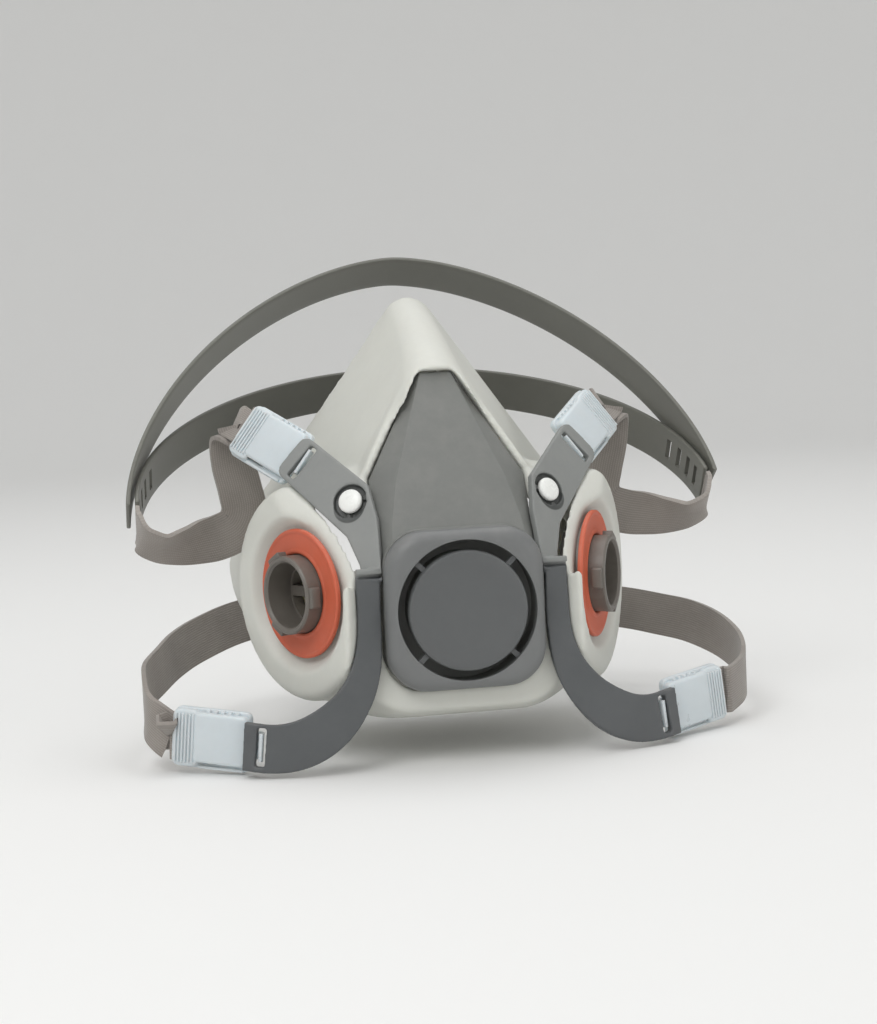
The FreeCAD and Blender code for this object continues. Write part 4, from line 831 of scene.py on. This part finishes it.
# %% [markdown]
# Four elastic straps leave the far ends of the buckles. The upper pair drops behind the
# cheeks and turns out to the head cradle. The lower pair curls back round the neck, and its
# two straps hang a little differently.

# %% Buckle frames
def buckle_frame(pivot, away, out):
    away = away.normalized()
    out = (out - away * out.dot(away)).normalized()
    return frame_at(pivot, away, out.cross(away), out)


upper_pivot = STUD_TOP + ARM_ALONG * (YOKE_END - YOKE_BAR / 2) - ARM_OUT * (YOKE_THICK / 2)
upper_frame = buckle_frame(upper_pivot, Vector((0.585, 0.70, 0.40)), ARM_OUT)
lower_joint = joints["neck_strap_swing_right"]
lower_pivot = Vector(lower_joint["pos_m"])
lower_bar = -Vector(lower_joint["axis"]).normalized()
lower_away = Vector((0.86, 0.47, 0.19)).normalized()
lower_away = (lower_away - lower_bar * lower_away.dot(lower_bar)).normalized()
lower_out = lower_away.cross(lower_bar)
lower_frame = buckle_frame(lower_pivot, lower_away, lower_out if lower_out.y < 0 else -lower_out)
print("buckle pivots", upper_pivot / MM, lower_pivot / MM)

# %% Elastic straps
STRAP_WIDE, STRAP_THICK, STRAP_LEVEL = 15, 1.4, -4.05
BUCKLE_LONG = 27.5


def strap_start(place):
    """Stations inside a buckle, up to where the strap leaves its far end."""
    across = place.to_3x3() @ Vector((0, 1, 0))
    return [((place @ (Vector((spot, 0, STRAP_LEVEL)) * MM)) / MM, across)
            for spot in (13, 18, BUCKLE_LONG + 0.5, BUCKLE_LONG + 2)]


# Stations for the right side. The lower straps hang loose, so each side has its own run.
UPPER_RUN = [
    ((63.4, -8.6, 22.6), (-0.66, 0.1, 0.74)), ((63.2, -6.6, 13), (-0.95, 0.3, 0.2)),
    ((61.4, -5.6, 4), (-1, 0.3, 0)), ((60.4, -4.8, -3.2), (-1, 0.2, -0.3)),
    ((63, -5.4, -8.8), (-0.7, 0.1, -0.7)), ((69, -7.6, -11.4), (-0.2, 0.05, -1)),
    ((75, -10.4, -12.2), (0, 0.25, -0.97)), ((82, -14, -12.9), (0, 0.62, -0.78)),
    ((88.8, -17.2, -12.6), (0, 0.8, -0.6)), ((93.4, -18.6, -10), (0, 0.7, -0.71)),
    ((95.2, -16.8, -6.4), (0, 0.5, -0.87)), ((95.2, -14.6, -4.7), (0, 0.5, -0.87)),
]
LOWER_RUNS = {
    "left": [
        ((95.6, -36.4, -64.2), (0, 0, 1)), ((96.7, -29, -59.9), (0, 0, 1)), ((95.7, -18, -57.1), (0, 0.1, 1)),
        ((90.8, -4, -54.8), (0, 0.2, 1)), ((84.4, 11, -52), (0, 0.3, 1)), ((75.6, 25, -49.6), (0, 0.3, 1)),
        ((61.1, 40, -46.8), (0, 0.3, 1)), ((41.1, 52, -45.2), (0, 0.2, 1)),
        ((23.7, 59, -44.6), (0, 0.1, 1)),
    ],
    "right": [
        ((92.2, -43, -68.6), (0, 0, 1)), ((99.6, -34, -67), (0, 0, 1)), ((104, -24, -64.6), (0, 0, 1)),
        ((106.3, -11, -61.7), (0, 0.1, 1)), ((104.7, 4, -58.1), (0, 0.2, 1)),
        ((99.1, 18, -55), (0, 0.3, 1)), ((91.4, 29, -53.4), (0, 0.3, 1)), ((79.9, 40, -51.4), (0, 0.3, 1)),
        ((59.6, 51, -49.2), (0, 0.2, 1)), ((38.3, 58, -47.8), (0, 0.1, 1)),
    ],
}


def make_strap(name, place, run, side):
    """Strap through its stations, mirrored for the left side."""
    stations = [(middle, across, STRAP_WIDE) for middle, across in strap_start(place) + run]
    drawn = name + "_drawn"
    right = ribbon(drawn, stations, STRAP_THICK)
    piece = twin(right, name, side)
    remove(right)
    return piece


for side_name, side in SIDES.items():
    piece = make_strap("elastic_upper_" + side_name, upper_frame, UPPER_RUN, side)
    dress(piece, elastic, "elastic", "head_harness", "upper_strap_" + side_name)
    piece = make_strap("elastic_lower_" + side_name, lower_frame, LOWER_RUNS[side_name], side)
    dress(piece, elastic, "elastic", "neck_strap_" + side_name, "lower_strap_" + side_name)

# %% [markdown]
# A buckle is a milky moulding: a thin base, a smooth raised pad with a ledge below it and
# small teeth above it, a ribbed far end to press on, and a hook that goes behind the yoke's
# end bar and up through its slot.

# %% Buckles
HOOK_IN, HOOK_OUT, HOOK_HALF = 3.0, 4.1, 4.3
HOOK_START, HOOK_SWEEP = math.radians(40), math.radians(152)
RIB_PITCH, RIB_WIDE = 1.15, 0.55
TOOTH_PITCH, TOOTH_WIDE = 2.4, 1.1
NEAR, WIDE, TOP, BOTTOM = 1.9, 9.4, -1.6, -6.4


def make_buckle():
    base = rounded_block("buckle", (NEAR, -WIDE, BOTTOM), (BUCKLE_LONG, WIDE, -4.3), 2.2, 0.5)
    pad = rounded_block("pad", (NEAR + 0.3, -7.4, -5.4), (20.4, 8.3, TOP), 1.8, 1.1)
    rear = rounded_block("rear", (18.4, -8.9, -5.6), (BUCKLE_LONG - 0.1, 8.9, TOP - 0.5), 2.4, 0.9)
    ribs = []
    for count in range(6):
        near = 19.9 + RIB_PITCH * count
        ribs.append(rounded_block(
            "rib", (near, -7.6, TOP - 1.6), (near + RIB_WIDE, 7.6, TOP + 0.25), 0, 0.18))
    teeth = []
    for count in range(5):
        near = 5.6 + TOOTH_PITCH * count
        teeth.append(rounded_block("tooth", (near, 8.0, -4.9), (near + TOOTH_WIDE, 9.1, -2.9), 0, 0.2))
    ledge = rounded_block("ledge", (NEAR + 1.8, -9.3, -5.0), (18.6, -8.4, -3.5), 0, 0.25)
    cavity = block("cavity", (12.5, -7.8, -4.95), (BUCKLE_LONG + 1, 7.8, -3.15))
    buckle = combine(base, [pad, rear, ledge] + ribs + teeth)
    combine(buckle, [cavity], "DIFFERENCE")
    combine(buckle, [make_hook()])
    apply(buckle, "BEVEL", width=0.18 * MM, segments=2, limit_method="ANGLE", angle_limit=math.radians(50))
    return buckle


def make_hook():
    """Blade that goes down behind the bar and up through its slot, spun about the bar."""
    bpy.ops.object.select_all(action="DESELECT")
    bpy.ops.mesh.primitive_plane_add(size=1, location=(0, 0, 0))
    piece = bpy.context.object
    piece.name = "hook"
    edit(piece)
    bpy.ops.mesh.select_all(action="SELECT")
    bpy.ops.transform.resize(value=((HOOK_OUT - HOOK_IN) * MM, 2 * HOOK_HALF * MM, 1))
    bpy.ops.transform.translate(value=((HOOK_IN + HOOK_OUT) / 2 * MM, 0, 0))
    bpy.ops.transform.rotate(value=-HOOK_START, orient_axis="Y", center_override=(0, 0, 0))
    bpy.ops.mesh.spin(steps=20, angle=HOOK_SWEEP, center=(0, 0, 0), axis=(0, -1, 0))
    finish_edit()
    clean(piece)
    return piece


buckle = make_buckle()
print("buckle", len(buckle.data.polygons), "faces")
for side_name, side in SIDES.items():
    for level, place, body in (("upper", upper_frame, "head_harness"),
                               ("lower", lower_frame, "neck_strap_" + side_name)):
        right = twin(buckle, "placed", 1)
        place_vertices(right, place)
        piece = twin(right, f"{level}_strap_buckle_{side_name}", side)
        remove(right)
        smooth(piece)
        dress(piece, buckle_plastic, "buckle_plastic", body, f"{level}_buckle_{side_name}")
remove(buckle)

# %% [markdown]
# The head cradle is two flat plastic bands bent into arches. The rear one leans back over
# the head and has a row of adjusting slots at each end; the crown band lies outside it.

# %% Head cradle
BAND_WIDE, BAND_THICK = 15, 1.4
JUNCTION = Vector((0, -13.3, -3.9))


def arch(half, reach, power, lean, start=0.0, count=49):
    """Stations of an arch whose plane leans back by an angle, outer face at the given size."""
    rise = Vector((0, math.sin(math.radians(lean)), math.cos(math.radians(lean))))
    across = Vector((1, 0, 0)).cross(rise)
    low = math.asin(start / reach)
    stations = []
    for index in range(count):
        turn = low + (math.pi - 2 * low) * index / (count - 1)
        side = math.copysign(abs(math.cos(turn)) ** (2 / power) * (half - BAND_THICK / 2), math.cos(turn))
        up = math.sin(turn) ** (2 / power) * (reach - BAND_THICK / 2)
        stations.append((JUNCTION + Vector((side, 0, 0)) + rise * up, across, BAND_WIDE))
    return stations


CROWN = {"half": 99, "reach": 98, "power": 1.7, "lean": 36, "start": 3}
REAR = {"half": 96, "reach": 76, "power": 2, "lean": 60}
SLOT_PITCH, SLOT_HIGH, SLOT_HALF, SLOT_REACH = 5.6, 2.2, 3.75, 10
crown = ribbon("crown", arch(**CROWN), BAND_THICK, columns=200)
rear = ribbon("rear", arch(**REAR), BAND_THICK, columns=200)
rise = Vector((0, math.sin(math.radians(REAR["lean"])), math.cos(math.radians(REAR["lean"]))))
rear_frame = frame_at(JUNCTION * MM, Vector((1, 0, 0)), rise, Vector((1, 0, 0)).cross(rise))
slots = []
for side in SIDES.values():
    for step in range(1, 5):
        low_edge = SLOT_PITCH * step
        end = side * REAR["half"]
        slot = block("slot", (end - SLOT_REACH, low_edge, -SLOT_HALF),
                     (end + SLOT_REACH, low_edge + SLOT_HIGH, SLOT_HALF))
        slots.append(set_down(slot, rear_frame))
combine(rear, slots, "DIFFERENCE")
for piece, name, node in ((crown, "cradle_crown", "crown_band"), (rear, "cradle_rear", "rear_band")):
    piece.name = name
    smooth(piece, 40)
    dress(piece, cradle_plastic, "cradle_plastic", "head_harness", node)

# %% [markdown]
# The clasp halves at the back of the neck are plain plates with a hook and a window. They
# keep their CAD shape with softened edges.

# %% Neck clasp
for node, side_name in (("neck_clasp_hook", "left"), ("neck_clasp_loop", "right")):
    piece = softened(node, node + "_plate", width=0.5, segments=3)
    dress(piece, clasp_plastic, "clasp_plastic", "neck_strap_" + side_name, node)

# %% [markdown]
# The flaps and clamp rings are inside the mask and have the right shape already. They only
# need their finish.

# %% Pieces that keep their CAD shape
KEPT = {"exhalation_flap": flap_rubber}
for side_name in SIDES:
    KEPT["inhalation_flap_" + side_name] = flap_rubber
    KEPT["clamp_ring_" + side_name] = ring_plastic
for node, finish in KEPT.items():
    piece = frame["nodes"][node]
    piece.data.materials.clear()
    piece.data.materials.append(finish)
    smooth(piece, 30)

# %% [markdown]
# The stage is a wide pale dish: a flat floor that curves up into a wall all round, so no
# horizon shows from any side. It is turned like the collars.

# %% Stage
FLOOR = cad_box[0][2] / MM - 0.5


def make_stage():
    outline = [(0, FLOOR)]
    flat, curve, wall = 1500, 900, 2200
    for step in range(13):
        turn = math.radians(7.5 * step)
        outline.append((flat + curve * math.sin(turn), FLOOR + curve * (1 - math.cos(turn))))
    outline.append((flat + curve, FLOOR + wall))
    piece = turned("stage", outline)
    edit(piece)
    bpy.ops.mesh.select_all(action="SELECT")
    bpy.ops.mesh.flip_normals()
    finish_edit()
    smooth(piece, 40)
    return piece


stage = make_stage()
pale = bpy.data.materials.new("pale_floor")
pale.use_nodes = True
principled(pale).inputs["Base Color"].default_value = (0.86, 0.86, 0.85, 1)
principled(pale).inputs["Roughness"].default_value = 0.9
stage.data.materials.append(pale)

# %% [markdown]
# The light is that of a small studio: a large soft box from the upper left, a weaker one
# from the right to open the shadows, one from behind for the rims, and a pale sky.

# %% Lights
def soft_box(name, spot, size, power, target=(0, 0, -0.01)):
    light = bpy.data.lights.new(name, "AREA")
    light.shape = "SQUARE"
    light.size = size
    light.energy = power
    holder = bpy.data.objects.new(name, light)
    bpy.context.scene.collection.objects.link(holder)
    holder.location = spot
    holder.rotation_euler = (Vector(target) - Vector(spot)).to_track_quat("-Z", "Y").to_euler()
    return holder


soft_box("key", (-0.55, -0.75, 0.95), 0.7, 6)
soft_box("fill", (0.9, -0.9, 0.25), 0.9, 2)
soft_box("top", (0.1, 0.2, 1.3), 1.0, 5)
world = bpy.data.worlds.new("pale_sky")
bpy.context.scene.world = world
world.use_nodes = True
sky = world.node_tree.nodes["Background"]
sky.inputs["Color"].default_value = (1.0, 1.0, 1.0, 1)
sky.inputs["Strength"].default_value = 0.6
bpy.context.scene.view_settings.view_transform = "Standard"

# %% [markdown]
# The camera looks from slightly above and slightly to the left, with a long lens, and is
# rolled a little.

# %% Camera
YAW, RISE, ROLL = math.radians(10.449), math.radians(5.136), math.radians(2.648)
TARGET = Vector((0.223, -30, -5.647)) * MM
DISTANCE = 610 * MM


def make_camera():
    data = bpy.data.cameras.new("camera")
    data.lens = 66.39
    data.sensor_width = 36
    camera = bpy.data.objects.new("camera", data)
    bpy.context.scene.collection.objects.link(camera)
    back = Vector((-math.sin(YAW) * math.cos(RISE), -math.cos(YAW) * math.cos(RISE), math.sin(RISE)))
    right = UP.cross(back).normalized()
    up = back.cross(right)
    rolled_right = math.cos(ROLL) * right - math.sin(ROLL) * up
    rolled_up = math.sin(ROLL) * right + math.cos(ROLL) * up
    camera.matrix_world = frame_at(TARGET + DISTANCE * back, rolled_right, rolled_up, back)
    return camera


bpy.context.scene.camera = make_camera()

# %% [markdown]
# Last, the view layer is brought up to date.

# %% View layer
bpy.context.view_layer.update()
